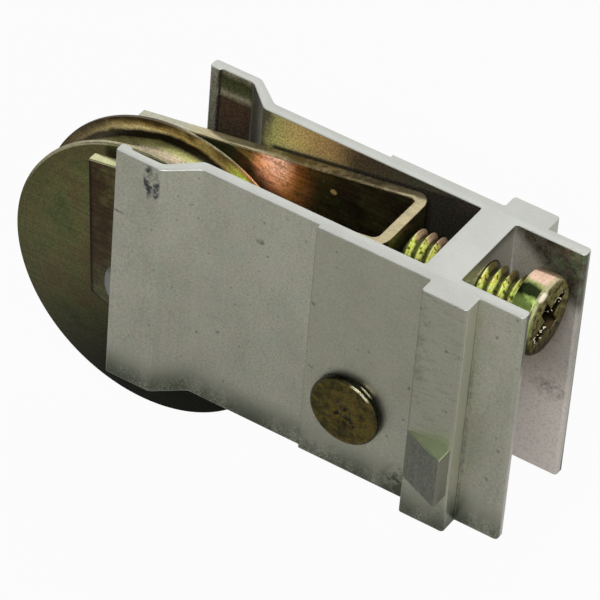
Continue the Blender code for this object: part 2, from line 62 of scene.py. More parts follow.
def gridQuads(rows, cols, closeRows=False, closeCols=False):
    # each quad joins a grid point to its neighbours in the next row and column, wrapped where closed
    row = np.arange(rows if closeRows else rows - 1)
    col = np.arange(cols if closeCols else cols - 1)
    r0, c0 = np.meshgrid(row, col, indexing="ij")
    r1, c1 = (r0 + 1) % rows, (c0 + 1) % cols
    quads = np.stack([r0 * cols + c0, r1 * cols + c0, r1 * cols + c1, r0 * cols + c1], -1)
    return quads.reshape(-1, 4)


def turnedPair(first, second, angle):
    # two coordinates turned about the axis that is square with both
    cos, sin = np.cos(angle), np.sin(angle)
    return first * cos - second * sin, first * sin + second * cos


def turnedGrid(radius, along, steps):
    # point = (along, radius cos a, radius sin a); the radius may change with the angle as well
    angle = np.arange(steps) * 2 * math.pi / steps
    radius = radius if radius.ndim == 2 else np.repeat(radius[:, None], steps, 1)
    spot = np.repeat(along[:, None], steps, 1)
    return np.stack([spot, radius * np.cos(angle), radius * np.sin(angle)], -1)


def solidOfRings(points, closedTube=False):
    # joins the rings of a grid (ring, step, xyz) and closes the ends with one face each, or end to end
    rings, steps = points.shape[:2]
    faces = gridQuads(rings, steps, closedTube, True).tolist()
    if not closedTube:
        faces.append(list(range(steps)))
        faces.append(list(range((rings - 1) * steps, rings * steps)))
    return points.reshape(-1, 3), faces


def softened(corners, roundings, steps):
    # a closed outline with each corner replaced by an arc that is tangent to both of its sides
    corner, roundings = np.asarray(corners, float), np.asarray(roundings, float)
    toBack, toNext = np.roll(corner, 1, 0) - corner, np.roll(corner, -1, 0) - corner
    lengthBack, lengthNext = np.linalg.norm(toBack, axis=1), np.linalg.norm(toNext, axis=1)
    toBack, toNext = toBack / lengthBack[:, None], toNext / lengthNext[:, None]
    half = np.arccos(np.clip((toBack * toNext).sum(1), -1, 1)) / 2
    radius = np.minimum(roundings, sideShare * np.minimum(lengthBack, lengthNext) * np.tan(half))
    middle = toBack + toNext
    middle /= np.linalg.norm(middle, axis=1)[:, None]
    centre = corner + middle * (radius / np.sin(half))[:, None]
    first = corner + toBack * (radius / np.tan(half))[:, None] - centre
    leftwards = toBack[:, 0] * toNext[:, 1] - toBack[:, 1] * toNext[:, 0] > 0
    turn = (math.pi - 2 * half) * np.where(leftwards, -1, 1)
    arcs = np.stack(turnedPair(first[:, :1], first[:, 1:], turn[:, None] * np.linspace(0, 1, steps)), -1)
    points = (centre[:, None] + arcs).reshape(-1, 2)
    return points[np.linalg.norm(points - np.roll(points, 1, 0), axis=1) > weld]


def shrunk(outline, inset):
    # each point moves inwards along the bisector of its two sides, so that both sides move by the inset
    back, ahead = np.roll(outline, 1, 0), np.roll(outline, -1, 0)
    turning = np.sign(np.sum(outline[:, 0] * ahead[:, 1] - ahead[:, 0] * outline[:, 1]))
    inward = np.zeros_like(outline)
    for side in (outline - back, ahead - outline):
        inward += turning * np.stack([-side[:, 1], side[:, 0]], -1) / np.linalg.norm(side, axis=1)[:, None]
    return outline + inset * inward * (2 / np.sum(inward * inward, axis=1))[:, None]


def stacked(outline, insets, heights):
    # rings of one outline, each drawn in by its inset and laid at its height
    level = np.ones(len(outline))
    return np.array([np.column_stack([shrunk(outline, i), level * h]) for i, h in zip(insets, heights)])


def brokenEdge(radius, along, size, towards, steps=4):
    # a quarter round that leads from a flat face at "along" to a cylinder of that radius
    bend = np.linspace(0, math.pi / 2, steps)
    return np.column_stack([radius - size * (1 - np.sin(bend)), along - towards * size * (1 - np.cos(bend))])


def brokenSides(radius, half, size):
    # the outside of a disc or tube from its near face to its far face, with both edges broken
    return np.concatenate([brokenEdge(radius, -half, size, -1), brokenEdge(radius, half, size, 1)[::-1]])


def outwardMesh(name, points, faces, welded):
    mesh = bpy.data.meshes.new(name)
    mesh.from_pydata(np.asarray(points).tolist(), [], faces)
    work = bmesh.new()
    work.from_mesh(mesh)
    if welded:
        bmesh.ops.remove_doubles(work, verts=work.verts, dist=weld)
    bmesh.ops.recalc_face_normals(work, faces=work.faces)
    work.to_mesh(mesh)
    work.free()
    return mesh


def inScene(name, data):
    item = bpy.data.objects.new(name, data)
    bpy.context.scene.collection.objects.link(item)
    return item


def smoothed(mesh, crease):
    mesh.shade_smooth()
    mesh.set_sharp_from_angle(angle=math.radians(crease))


def newPiece(name, points, faces, material, body, slot, nodes=(), crease=30):
    mesh = outwardMesh(name, points, faces, True)
    smoothed(mesh, crease)
    mesh.materials.append(material)
    piece = inScene(name, mesh)
    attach(piece, body)
    if nodes:
        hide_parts(*nodes)
    return piece


def roundPiece(name, profile, centre, steps, material, body, slot, nodes=(), tube=False, crease=30):
    # a profile of (radius, place along Y) swept round the Y axis through the centre
    profile = np.asarray(profile) * mm
    grid = turnedGrid(profile[:, 0], profile[:, 1], steps)
    points = np.stack([grid[..., 1], grid[..., 0], grid[..., 2]], -1) + centre
    return newPiece(name, *solidOfRings(points, tube), material, body, slot, nodes, crease)


def cutBy(piece, shapes, crease):
    # takes shapes of (points, faces) out of a piece and keeps the result as its mesh
    cutters = [inScene("cutter", outwardMesh("cutter", *shape, False)) for shape in shapes]
    for cutter in cutters:
        cut = piece.modifiers.new("cut", "BOOLEAN")
        cut.operation, cut.solver, cut.object = "DIFFERENCE", "EXACT", cutter
    view = bpy.context.evaluated_depsgraph_get()
    mesh = bpy.data.meshes.new_from_object(piece.evaluated_get(view))
    piece.modifiers.clear()
    piece.data = mesh
    smoothed(mesh, crease)
    for cutter in cutters:
        bpy.data.objects.remove(cutter)


# node trees

class Nodes:
    # a call adds one or a few nodes to the tree and gives back an output; values are numbers or outputs
    def __init__(self, tree):
        self.tree = tree

    def feed(self, socket, value):
        if isinstance(value, bpy.types.NodeSocket):
            self.tree.links.new(value, socket)
        else:
            socket.default_value = value

    def node(self, kind, inputs, output=0, **settings):
        node = self.tree.nodes.new("ShaderNode" + kind)
        for key, value in settings.items():
            setattr(node, key, value)
        for key, value in inputs.items():
            self.feed(node.inputs[key], value)
        return node.outputs[output]

    def maths(self, operation, first, second=0.0, clamp=False):
        return self.node("Math", {0: first, 1: second}, operation=operation, use_clamp=clamp)

    def plus(self, first, second, clamp=False):
        return self.maths("ADD", first, second, clamp)

    def minus(self, first, second):
        return self.maths("SUBTRACT", first, second)

    def larger(self, first, second):
        return self.maths("MAXIMUM", first, second)

    def times(self, value, *others):
        for other in others:
            value = self.maths("MULTIPLY", value, other)
        return value

    def weighed(self, values, weights):
        # the sum of the values, each times its weight
        parts = [self.times(value, weight) for value, weight in zip(values, weights)]
        total = parts[0]
        for part in parts[1:]:
            total = self.plus(total, part)
        return total

    def length(self, first, second):
        return self.maths("SQRT", self.plus(self.times(first, first), self.times(second, second)))

    def span(self, value, low, high, lowOut=0.0, highOut=1.0, smooth=True):
        # carries low to lowOut and high to highOut, and holds there
        inputs = {"Value": value, "From Min": low, "From Max": high, "To Min": lowOut, "To Max": highOut}
        kind = "SMOOTHSTEP" if smooth else "LINEAR"
        return self.node("MapRange", inputs, "Result", interpolation_type=kind)

    def ramp(self, value, stops):
        colour = self.node("ValToRGB", {"Fac": value}, "Color")
        band = colour.node.color_ramp
        while len(band.elements) < len(stops):
            band.elements.new(0.5)
        for element, (spot, shade) in zip(band.elements, stops):
            element.position = spot
            element.color = (*shade, 1)
        return colour

    def mix(self, amount, first, second, mode="MIX"):
        first, second = (c if isinstance(c, bpy.types.NodeSocket) else (*c, 1) for c in (first, second))
        inputs = {"Factor": amount, 6: first, 7: second}
        return self.node("Mix", inputs, 2, data_type="RGBA", blend_type=mode)

    def shaded(self, colour, value):
        # the colour times a grey of that value
        return self.mix(1.0, colour, self.node("CombineColor", {0: value, 1: value, 2: value}), "MULTIPLY")

    def axes(self, vector):
        return self.node("SeparateXYZ", {0: vector}).node.outputs

    def mapped(self, vector, scale, shift=(0, 0, 0), turn=(0, 0, 0)):
        return self.node("Mapping", {"Vector": vector, "Scale": scale, "Location": shift, "Rotation": turn})


class Finish(Nodes):
    # the tree of a new metal; "at" holds what its zones are measured along: places in mm and noises
    def __init__(self, name, look):
        self.material = bpy.data.materials.new(name)
        self.material.use_nodes = True
        super().__init__(self.material.node_tree)
        self.shader = self.tree.nodes["Principled BSDF"].inputs
        self.place = self.node("TexCoord", {}, "Object")
        self.here = self.mapped(self.place, (1 / mm,) * 3)
        self.at = Named(zip("xyz", self.axes(self.here)))
        for key, pattern in look.noises.items():
            self.at[key] = self.noise(*pattern)

    def noise(self, scale, detail, rough, stretch=None, shift=(0, 0, 0), turn=(0, 0, 0), warp=0.0, at=None):
        # clouds between 0 and 1, stretched, moved and turned where asked
        at = at or self.place
        at = self.mapped(at, stretch, shift, turn) if stretch else at
        inputs = {"Vector": at, "Scale": scale, "Detail": detail, "Roughness": rough, "Distortion": warp}
        return self.node("TexNoise", inputs, "Fac")

    def along(self, direction, origin):
        # distance in mm of a point from the origin, measured along the direction
        inputs = {0: self.here, 1: tuple(direction)}
        dot = self.node("VectorMath", inputs, "Value", operation="DOT_PRODUCT")
        return self.minus(dot, float(np.dot(direction, origin)) / mm)

    def spot(self, centre, reach, edge=0.45):
        # 1 inside an ellipsoid of these half sizes and 0 outside it, with a soft border
        scale, shift = tuple(1 / r for r in reach), tuple(-c / r for c, r in zip(centre, reach))
        near = self.mapped(self.here, scale, shift)
        size = self.node("VectorMath", {0: near}, "Value", operation="LENGTH")
        return self.span(size, 1 - edge, 1 + edge, 1.0, 0.0)

    def zone(self, *limits):
        # the product of spans, each along one measure
        mask = 1.0
        for measure, *ends in limits:
            mask = self.times(mask, self.span(self.at[measure], *ends))
        return mask

    def painted(self, colour, layers):
        # lays colours over a colour, each within its zone
        for top, *limits in layers:
            colour = self.mix(self.zone(*limits), colour, top)
        return colour

    def spotted(self, colour, stains):
        # lays soft spots over a colour, both real stains and painted shade and reflection; a noise breaks up
        # their borders
        for centre, reach, shade, amount in stains:
            mask = self.times(self.spot(centre, reach), self.at.ragged)
            colour = self.mix(self.maths("MULTIPLY", mask, amount, True), colour, shade)
        return colour

    def wander(self, value, cloud, reach):
        # moves a value by a noise, up to half the reach to each side
        return self.plus(value, self.times(self.minus(self.at[cloud], 0.5), reach))

    def blended(self, names, shares):
        return self.weighed([self.at[name] for name in names], shares)

    def done(self, colour, metal, rough, height, strength, depth=0.02):
        # feeds the shader; the fine relief is a bump of that depth in mm
        bump = self.node("Bump", {"Strength": strength, "Distance": depth * mm, "Height": height}, "Normal")
        parts = {"Base Color": colour, "Metallic": metal, "Roughness": rough, "Normal": bump}
        for socket, value in parts.items():
            self.feed(self.shader[socket], value)
        return self.material


def dimmed(colour, share):
    return tuple(share * c for c in colour)


# In the looks below, a noise is its scale, detail and roughness, then stretch, shift and turn.
# A limit is a measure, where it starts and ends, in mm or as a noise's value, and the shares there if
# they aren't 0 and 1. A layer is a colour and its limits.
# A stain is its centre, half sizes, colour and amount.

# housing: one extrusion, two walls mirrored about Y = 0

housingSizes = Named(
    height=31.75, webHalf=2.175, inside=5.7, legInside=5.6, legOutside=7.05, legEnd=10.675,
    ribFrom=-0.375, ribTo=5.325, rib=9.525, thick=7.55, thin=7.1, step=-14.475,
    jogEnd=-29.375, flareEnd=-32.775, tip=-38.675, flare=9.85, flareWall=1.1, thinWall=1.4,
    bead=1.2, beadHeight=0.35, tipRound=0.4, cornerRound=0.3, jogRound=1.2, rootRound=0.1,
    edge=0.13, edgeSteps=4, arcSteps=9, crease=24,
    screwDrop=5.05, tapRadius=3.25, tapSteps=72, tapPast=1.0,
)
alloyLook = Named(
    wall=(0.575, 0.575, 0.468), dull=(0.41, 0.405, 0.325), sawn=(0.62, 0.635, 0.585), sawnDull=0.88,
    legInside=(0.62, 0.59, 0.53), smear=(0.075, 0.06, 0.036), dark=(0.05, 0.045, 0.035),
    inner=[  # painted reflection of the plated yoke beside it, from the jog to the web
        (0, (0.1, 0.095, 0.06)), (0.05, (0.17, 0.16, 0.1)), (0.09, (0.62, 0.62, 0.24)),
        (0.22, (0.8, 0.66, 0.28)), (0.36, (0.58, 0.44, 0.19)), (0.52, (0.13, 0.095, 0.055)),
        (0.8, (0.095, 0.092, 0.062)),
    ],
    pocket=[  # painted reflection bands down the inside of the flared ends
        (0, (0.3, 0.29, 0.21)), (0.12, (0.06, 0.065, 0.03)), (0.28, (0.12, 0.13, 0.06)),
        (0.36, (0.46, 0.43, 0.3)), (0.45, (0.1, 0.07, 0.04)), (0.62, (0.13, 0.075, 0.05)),
        (1, (0.1, 0.075, 0.05)),
    ],
    stains=[
        ((-34.3, -9.9, -2.3), (0.55, 0.6, 2), (0.08, 0.08, 0.085), 1.5),  # dark rubs on the jog
        ((-33.3, -9.9, -2.7), (0.42, 0.6, 1.6), (0.09, 0.09, 0.095), 1.3),
        ((-37.9, -9.9, -8.2), (0.8, 0.6, 0.16), (0.2, 0.2, 0.18), 1),  # nick by the end
        ((-1.6, -7.5, -31), (2.2, 0.6, 3), (0.05, 0.06, 0.035), 1.4),  # painted shade in the corner at the foot of the rib
        ((5.4, -7.2, -20), (0.36, 0.4, 12), (0.31, 0.31, 0.255), 1.5),  # painted shade along the corner where rib and leg meet
        ((0.3, -9.6, -8.5), (0.8, 0.5, 6.5), (0.25, 0.25, 0.22), 0.9),  # rubbed edge of the rib
        ((-21.5, -7.2, -6), (0.45, 0.5, 0.35), (0.09, 0.09, 0.08), 1.4),
    ],
    insideStains=[((8.4, 5.6, -20), (1.9, 0.6, 1.3), (0.34, 0.31, 0.28), 0.8)],  # on the far leg
    noises=dict(
        lines=(1, 4, 0.6, (2400, 2400, 14)), smudge=(190, 4, 0.62, (1, 1, 0.7)),
        grain=(4200, 3, 0.7), tint=(420, 3, 0.6, (1, 1, 1), (0.03, 0.01, 0.02)),
        tears=(900, 5, 0.75), specks=(1100, 2, 0.5),
        scratches=(1, 5, 0.8, (420, 1, 2300), (0, 0, 0), (0, 0.8, 0)),
        sawLines=(1, 3, 0.6, (500, 4200, 1), (0, 0, 0), (0, 0, 0.35)),
    ),
    toneShares=(0.08, 0.27, 0.65), footShares=(0.5, 0.5), sawShares=(0.2, 0.4, 0.4),
    reliefShares=(0.5, 0.7), relief=0.1, ragged=("tears", 0.4, 0.62),
    layers=[
        ((0.53, 0.485, 0.42), ("tint", 0.5, 0.72, 0, 0.6)),  # warm and cool drifts
        ((0.455, 0.505, 0.4), ("tint", 0.5, 0.28, 0, 0.6)),
    ],
    overStains=[  # right of the step, a painted light band on the rib's side, painted shade darkening the foot, and specks
        ((0.36, 0.36, 0.27), ("x", -14.6, -14.3), ("x", 5.2, 5.5, 0.5, 0.15), ("z", -24, -15, 0.3, 1)),
        ((0.74, 0.74, 0.63), ("x", 5.26, 5.31), ("x", 5.42, 5.34), ("aside", 7.15, 7.5, 0, 0.85)),
        ((0.085, 0.1, 0.065), ("z", -31.6, -26.5, 0.95, 0), ("foot", 0.32, 0.54)),
        ((0.05, 0.045, 0.035), ("specks", 0.68, 0.76, 0, 0.45)),
    ],
    outsideMarks=[  # a dark line along the step, and scratches on the rib
        ((0.07, 0.062, 0.065), ("x", -14.66, -14.52), ("x", -14.42, -14.46),
         ("inside", 0, 1, 1, 0, False), ("smudge", 0.3, 0.6, 0.35, 0.9)),
        ((0.22, 0.225, 0.175), ("aside", 9.3, 9.5), ("x", -1, 0), ("scratches", 0.48, 0.66, 0, 0.5)),
    ],
    innerReach=(-31, -5, 0, 1, False), innerWander=6, innerTone=("grain", 0.38, 0.62, 0.62, 1.3),
    pocketReach=(0, -8, 0, 1, False), pocketWander=1.6, smearLean=0.85,
    # far leg's inside: lighter towards the bottom as a painted reflection, and a dark greenish band near its
    # top as a painted dark reflection; the same dark colour also darkens the grain
    legLow=[((0.88, 0.81, 0.74), ("z", -15, -22))], moss=[((0.1, 0.15, 0.07), ("tint", 0.46, 0.6))],
    smeared=(("leaning", -0.2, 2.6), ("ragged", 0, 1, 0.8, 1, False)), leg=("x", 1, 2),
    legGrain=("grain", 0.42, 0.6, 0, 0.4), pocketFrom=("x", -33, -33.6),
    # painted shade: a dark line beside the bead; painted highlight: a pale strip along the bead
    beadDark=(("x", -37.5, -37.35), ("x", -37.15, -37.3)),
    bead=[((0.34, 0.34, 0.27), ("x", -37.4, -37.7, 0, 0.8))],
    rub=(("yokeUp", yokeTop + 0.35, yokeTop), ("x", -29, -28), ("x", 0, 1, 0.92, 0)),
    jogMiddle=(-32.8, -29.4, 9.3, 6.4, False), skin=(-0.1, 0.1), topEnd=("z", -0.16, -0.05),
    footEnd=("z", -31.6, -31.7), wallTone=(0.36, 0.64), sawTone=(0.34, 0.66),
    rough=(0.35, 0.65, 0.46, 0.34), insideRough=0.26, insideMetal=0.55,
)


def alloyInside(f, look):
    # painted reflections of the yoke along the walls, painted reflections on the far leg, painted reflection
    # bands in the pockets inside the flared ends, and a painted shadow under the yoke's edge
    x, z = f.at.x, f.at.z
    inner = f.ramp(f.span(f.wander(x, "smudge", look.innerWander), *look.innerReach), look.inner)
    # painted reflections on the far leg's inside: lighter low down, and a dark greenish band along the top
    f.at.leaning = f.plus(z, f.times(x, look.smearLean))
    leg = f.painted(look.legInside, look.legLow)
    smear = f.painted(look.smear, look.moss)
    leg = f.painted(leg, [(smear, *look.smeared), (look.smear, look.legGrain)])
    # painted reflection bands in the pocket, with a painted dark line and pale strip at the bead
    pocket = f.ramp(f.span(f.wander(z, "smudge", look.pocketWander), *look.pocketReach), look.pocket)
    pocket = f.painted(pocket, [(look.dark, *look.beadDark)] + look.bead)
    f.at.yokeUp = f.along(yokeUp, pivot)  # painted shadow: a dark line on the wall along the yoke's upper edge
    inner = f.painted(inner, [(leg, look.leg), (pocket, look.pocketFrom), (look.dark, *look.rub)])
    return f.shaded(f.spotted(inner, look.insideStains), f.zone(look.innerTone))


def makeAluminium(name, look):
    # faint die lines, grain, smudges, painted shade at the foot and in the corners by the rib, a painted
    # light band on the rib's side, a dark line along the step, and bright sawn ends
    f = Finish(name, look)
    f.at.aside = f.maths("ABSOLUTE", f.at.y)
    f.at.ragged = f.zone(look.ragged)
    f.at.foot = f.blended(("smudge", "grain"), look.footShares)
    inside = f.span(f.minus(f.span(f.at.x, *look.jogMiddle), f.at.aside), *look.skin)
    f.at.inside = inside
    tone = f.blended(("lines", "smudge", "grain"), look.toneShares)
    colour = f.mix(f.span(tone, *look.wallTone), look.dull, look.wall)
    colour = f.spotted(f.painted(colour, look.layers), look.stains)
    colour = f.mix(inside, f.painted(colour, look.overStains), alloyInside(f, look))
    sawn = f.larger(f.zone(look.topEnd), f.zone(look.footEnd))
    sawTone = f.span(f.blended(("sawLines", "smudge", "grain"), look.sawShares), *look.sawTone)
    sawColour = f.mix(sawTone, dimmed(look.sawn, look.sawnDull), look.sawn)
    colour = f.mix(sawn, f.painted(colour, look.outsideMarks), sawColour)
    metal = f.span(inside, 0.0, 1.0, 1.0, look.insideMetal, False)
    mirror = f.times(inside, f.minus(1.0, sawn))
    rough = f.span(tone, *look.rough)
    rough = f.weighed((rough, mirror), (f.minus(1.0, mirror), look.insideRough))
    return f.done(colour, metal, rough, f.blended(("lines", "grain"), look.reliefShares), look.relief)


def housingOutline(s):
    slope = math.atan2(s.flare - s.thin, s.jogEnd - s.flareEnd)
    outBack = s.flareEnd - s.flareWall * math.tan(slope / 2)
    inBack = s.jogEnd - s.thinWall * math.tan(slope / 2)
    pocket = s.flare - s.flareWall
    bead, beadEnd = pocket - s.beadHeight, s.tip + s.bead
    tip, corner, jog, root = s.tipRound, s.cornerRound, s.jogRound, s.rootRound
    wall = np.array([  # x, y, rounding, from the web's screw side round to its wheel side
        (s.webHalf, s.legInside, corner), (s.legEnd, s.legInside, tip),
        (s.legEnd, s.legOutside, tip), (s.ribTo, s.legOutside, root), (s.ribTo, s.rib, tip),
        (s.ribFrom, s.rib, tip), (s.ribFrom, s.thick, corner), (s.step, s.thick, 0),
        (s.step, s.thin, 0), (s.jogEnd, s.thin, jog), (s.flareEnd, s.flare, jog),
        (s.tip, s.flare, tip), (s.tip, bead, tip), (beadEnd, bead, corner),
        (beadEnd + s.beadHeight, pocket, 0), (outBack, pocket, jog), (inBack, s.inside, jog),
        (-s.webHalf, s.inside, corner),
    ])
    corners = np.concatenate([wall, wall[::-1] * (1, -1, 1)])
    return softened(corners[:, :2], corners[:, 2], s.arcSteps) * mm


def buildHousing(s, material):
    # the outline carried along Z, drawn in by a quarter round at both sawn ends
    bend = np.linspace(0, math.pi / 2, s.edgeSteps)
    inset = s.edge * (1 - np.sin(bend)) * mm
    drop = s.edge * (1 - np.cos(bend)) * mm
    heights = np.concatenate([-drop, drop[::-1] - s.height * mm])
    rings = stacked(housingOutline(s), np.concatenate([inset, inset[::-1]]), heights)
    piece = newPiece(
        "housing_extrusion", *solidOfRings(rings), material, "housing", "aluminium", ["housing"], s.crease)
    along = np.array([-1, 1]) * (s.webHalf + s.tapPast) * mm
    bore, faces = solidOfRings(turnedGrid(np.full(2, s.tapRadius) * mm, along, s.tapSteps))
    cutBy(piece, [(bore - (0, 0, s.screwDrop * mm), faces)], s.crease)
    return piece


barbSizes = Named(
    start=-0.175, end=5.125, root=8.9, face=9.6, tip=11.875, low=-26.45, high=-19.65,
    edge=0.08, crease=20,
)
shearedLook = Named(
    # the ramp's dark colour is painted shade
    torn=(0.16, 0.168, 0.136), noises=dict(drag=(1, 4, 0.65, (2600, 2600, 160)), grain=(3000, 4, 0.7)),
    layers=[  # brighter lines, and the side and the ledge made paler as painted light
        ((0.26, 0.272, 0.216), ("tone", 0.36, 0.66)), ((0.4, 0.4, 0.33), ("x", 5.04, 5.09)),
        ((0.54, 0.62, 0.42), ("z", -19.8, -19.7)),
    ],
    toneShares=(0.3, 0.7), rough=(0.3, 0.7, 0.5, 0.32), relief=(0.2, 0.03),
)


def makeSheared(name, look):
    # metal pushed up by a punch: dull drag lines down the ramp, whose dark colour is painted shade, and a
    # side and a ledge on top made paler as painted light
    f = Finish(name, look)
    tone = f.at.tone = f.blended(("drag", "grain"), look.toneShares)
    colour = f.painted(look.torn, look.layers)
    return f.done(colour, 1.0, f.span(tone, *look.rough), tone, *look.relief)


def buildBarb(s, material):
    # a wedge that starts flush with the near rib and stands out at its screw side
    outline = np.array([
        (s.start, -s.root), (s.end, -s.root), (s.end, -s.tip), (s.start, -s.face)]) * mm
    inset = np.array([s.edge, 0, 0, s.edge]) * mm
    height = np.array([s.low, s.low + s.edge, s.high - s.edge, s.high]) * mm
    rings = stacked(outline, inset, height)
    return newPiece("rib_barb", *solidOfRings(rings), material, "housing", "aluminium", crease=s.crease)


housing = buildHousing(housingSizes, makeAluminium("mill_aluminium", alloyLook))
buildBarb(barbSizes, makeSheared("sheared_aluminium", shearedLook))
print("housing:", len(housing.data.polygons), "faces")


# yellow passivation over zinc, shared by the yoke, wheel, rivet and screw

chromate = Named(
    detail=(4, 0.6), warp=0.8, cloudScale=3.1, cloudShift=(0.013, 0.007, 0.021),
    driftShares=(0.65, 0.35), fineShares=(0.5, 0.5), fineTone=(0.36, 0.64), roughTone=(0.3, 0.7),
    metal=0.8, ringScale=4.2, ringNoise=(1, 3, 0.6),
    stops=[
        (0.3, (0.05, 0.062, 0.016)), (0.42, (0.1, 0.112, 0.036)), (0.5, (0.128, 0.124, 0.042)),
        (0.57, (0.125, 0.096, 0.038)), (0.66, (0.092, 0.122, 0.036)), (0.76, (0.18, 0.168, 0.062)),
    ],
)


def chromateBase(name, look):
    # slow drifts between olive, khaki, brown and green
    f, c = Finish(name, look), chromate
    drift = f.noise(look.drift, *c.detail, warp=c.warp)
    f.at.cloud = f.noise(look.drift * c.cloudScale, *c.detail, (1, 1, 1), c.cloudShift)
    return f, f.ramp(f.weighed((drift, f.at.cloud), c.driftShares), look.stops)


def chromateEnd(f, colour, lines, grain, look, metal=chromate.metal):
    # fine lines and grain lighten and darken the colour a little, and carry the relief
    fine = f.weighed((lines, grain), chromate.fineShares)
    shade = f.span(fine, *chromate.fineTone, 1 - look.contrast, 1 + look.contrast)
    rough = f.span(f.at.cloud, *chromate.roughTone, *look.roughness)
    return f.done(f.shaded(colour, shade), metal, rough, fine, look.relief)


def turnedLines(f, centre):
    # noise that depends only on the distance from an axis along Y and on the place along it
    x, y, z = f.axes(f.mapped(f.here, (1, 1, 1), tuple(-v / mm for v in centre)))
    reach = f.at.reach = f.length(x, z)
    f.at.y = y
    scale = chromate.ringScale
    ring = f.node("CombineXYZ", {0: f.times(reach, scale), 1: f.times(y, scale)})
    f.at.lines = f.noise(*chromate.ringNoise, at=ring)


# yoke: a strip bent into a U, in its own tilted frame with the pivot at the origin

yokeSizes = Named(
    outside=5.4, sheet=1.4, bendInside=0.7, cross=4.63, top=yokeTop, crossLow=8.0,
    endTop=-33.0, endLow=-35.1, low=2.74, chamferX=-30.0, chamferZ=-0.51, earLow=-4.1,
    lean=11, edge=0.14, edgeSteps=4, armRows=40, bendRows=15, bendGap=0.01,
    ear=4.4, earInset=0.04, earEdge=0.12, earSteps=72,
)
yokeLook = Named(
    drift=95, stops=[(at, dimmed(shade, 0.75)) for at, shade in chromate.stops],
    roughness=(0.18, 0.34), contrast=0.45, relief=0.1,
    cutEdge=(0.54, 0.46, 0.27), armEnd=(0.62, 0.62, 0.34), bloom=(1, 0.41, 0.23), pink=(1, 0.6, 0.47),
    # painted shadow: a dark line along the near arm's end and lower edge
    grime=[((0.01, 0.008, 0.004), ("outwards", -0.55, -0.15, 0, 0.9))],
    grimeLines=[  # painted shadow along the near arm's edges; a corner and the way out from it: the arm's end and its lower corner
        ((-33, 0, 21.2), (-0.9936, 0, 0.113)), ((-35.1, 0, 2.74), (-0.537, 0, -0.843)),
    ],
    # painted reflection: orange patches with a pink core on the inner faces, made less metallic
    bloomSpots=[((-27, 4, -5.4), (2.2, 0.6, 3), 1), ((-29, -4, -8.5), (5, 0.6, 6), 0.8)],
    bloomEdge=0.6, core=((-26.5, 4, -4.6), (1.5, 0.6, 2), 0.7),
    stains=[
        ((-26.6, 4, -6.5), (4.2, 0.6, 5.4), (0.5, 0.2, 0.07), 0.9),  # painted reflection: copper brown round the orange patch
        ((-12.5, 4, -8.5), (9, 1, 10), (0.05, 0.032, 0.022), 0.8),  # painted shade: darker brown deeper in, towards the cross piece
        ((-19.35, 4, -5.4), (0.34, 0.6, 0.3), (0.85, 0.64, 0.28), 2.4),  # gold fleck
        ((-44, -5.4, -15), (3, 0.4, 9), (0.052, 0.03, 0.01), 1.3),  # painted shade: the near arm's end, in the shadow of the flared wall, darker brown
    ],
    noises=dict(
        grain=(3600, 4, 0.7), tears=(420, 4, 0.65), shadeMottle=(700, 4, 0.7),
        lines=(1, 3, 0.6, (160, 3200, 3200)),
    ),
    ragged=("tears", 0.34, 0.6), speckShares=(0.5, 0.5), bloomTone=("speckle", 0.36, 0.5),
    bloomLeast=0.72, coreTone=("speckle", 0.4, 0.54, 0.5, 1), armEndFrom=("x", -36, -40),
    # painted shade: the cut edge's middle, brown and mottled where it runs close by the wall
    worn=[((0.23, 0.18, 0.095), ("x", -32, -25), ("x", -8.5, -14), ("shadeMottle", 0.34, 0.56))],
    farEnd=[((0.5, 0.49, 0.37), ("y", -1, 1))],
    topEdge=(yokeTop - 0.2, yokeTop - 0.08), calm=0.65,
)


def tilted(points):
    # from the yoke's own frame to the part's frame: turned about Y by the tilt, then moved to the pivot
    x, z = turnedPair(points[..., 0], points[..., 2], yokeTilt)
    return np.stack([x, points[..., 1], z], -1) + pivot


def makeYokeFinish(name, look):
    # pale cut edges along the top, brown in the middle as painted shade, painted shadow lines along the near
    # arm's edges, painted shade in places, and orange patches of painted reflection on the inner faces
    f, colour = chromateBase(name, look)
    f.at.ragged = f.zone(look.ragged)
    f.at.speckle = f.blended(("cloud", "grain"), look.speckShares)
    # painted reflection: the orange patches on the inner faces
    bloom = 0.0
    for centre, reach, amount in look.bloomSpots:
        strength = f.zone((*look.bloomTone, look.bloomLeast * amount, amount))
        bloom = f.larger(bloom, f.times(f.spot(centre, reach, look.bloomEdge), strength))
    core = f.times(f.spot(*look.core), f.zone(look.coreTone))
    colour = f.mix(bloom, f.spotted(colour, look.stains), f.mix(core, look.bloom, look.pink))
    # painted shadow lines along the near arm's end and lower edge
    for corner, outwards in look.grimeLines:
        f.at.outwards = f.along(tilted(np.array(outwards)) - pivot, tilted(np.array(corner) * mm))
        colour = f.painted(colour, look.grime)
    cut = f.painted(look.cutEdge, look.worn)
    cut = f.painted(cut, [(f.painted(look.armEnd, look.farEnd), look.armEndFrom)])
    edge = f.span(f.along(yokeUp, pivot), *look.topEdge)
    lines, grain = (  # calmer on the cut edges
        f.plus(part, f.times(edge, look.calm, f.minus(0.5, part))) for part in (f.at.lines, f.at.grain))
    metal = f.minus(chromate.metal, f.times(bloom, chromate.metal))
    return chromateEnd(f, f.mix(edge, colour, cut), lines, grain, look, metal)


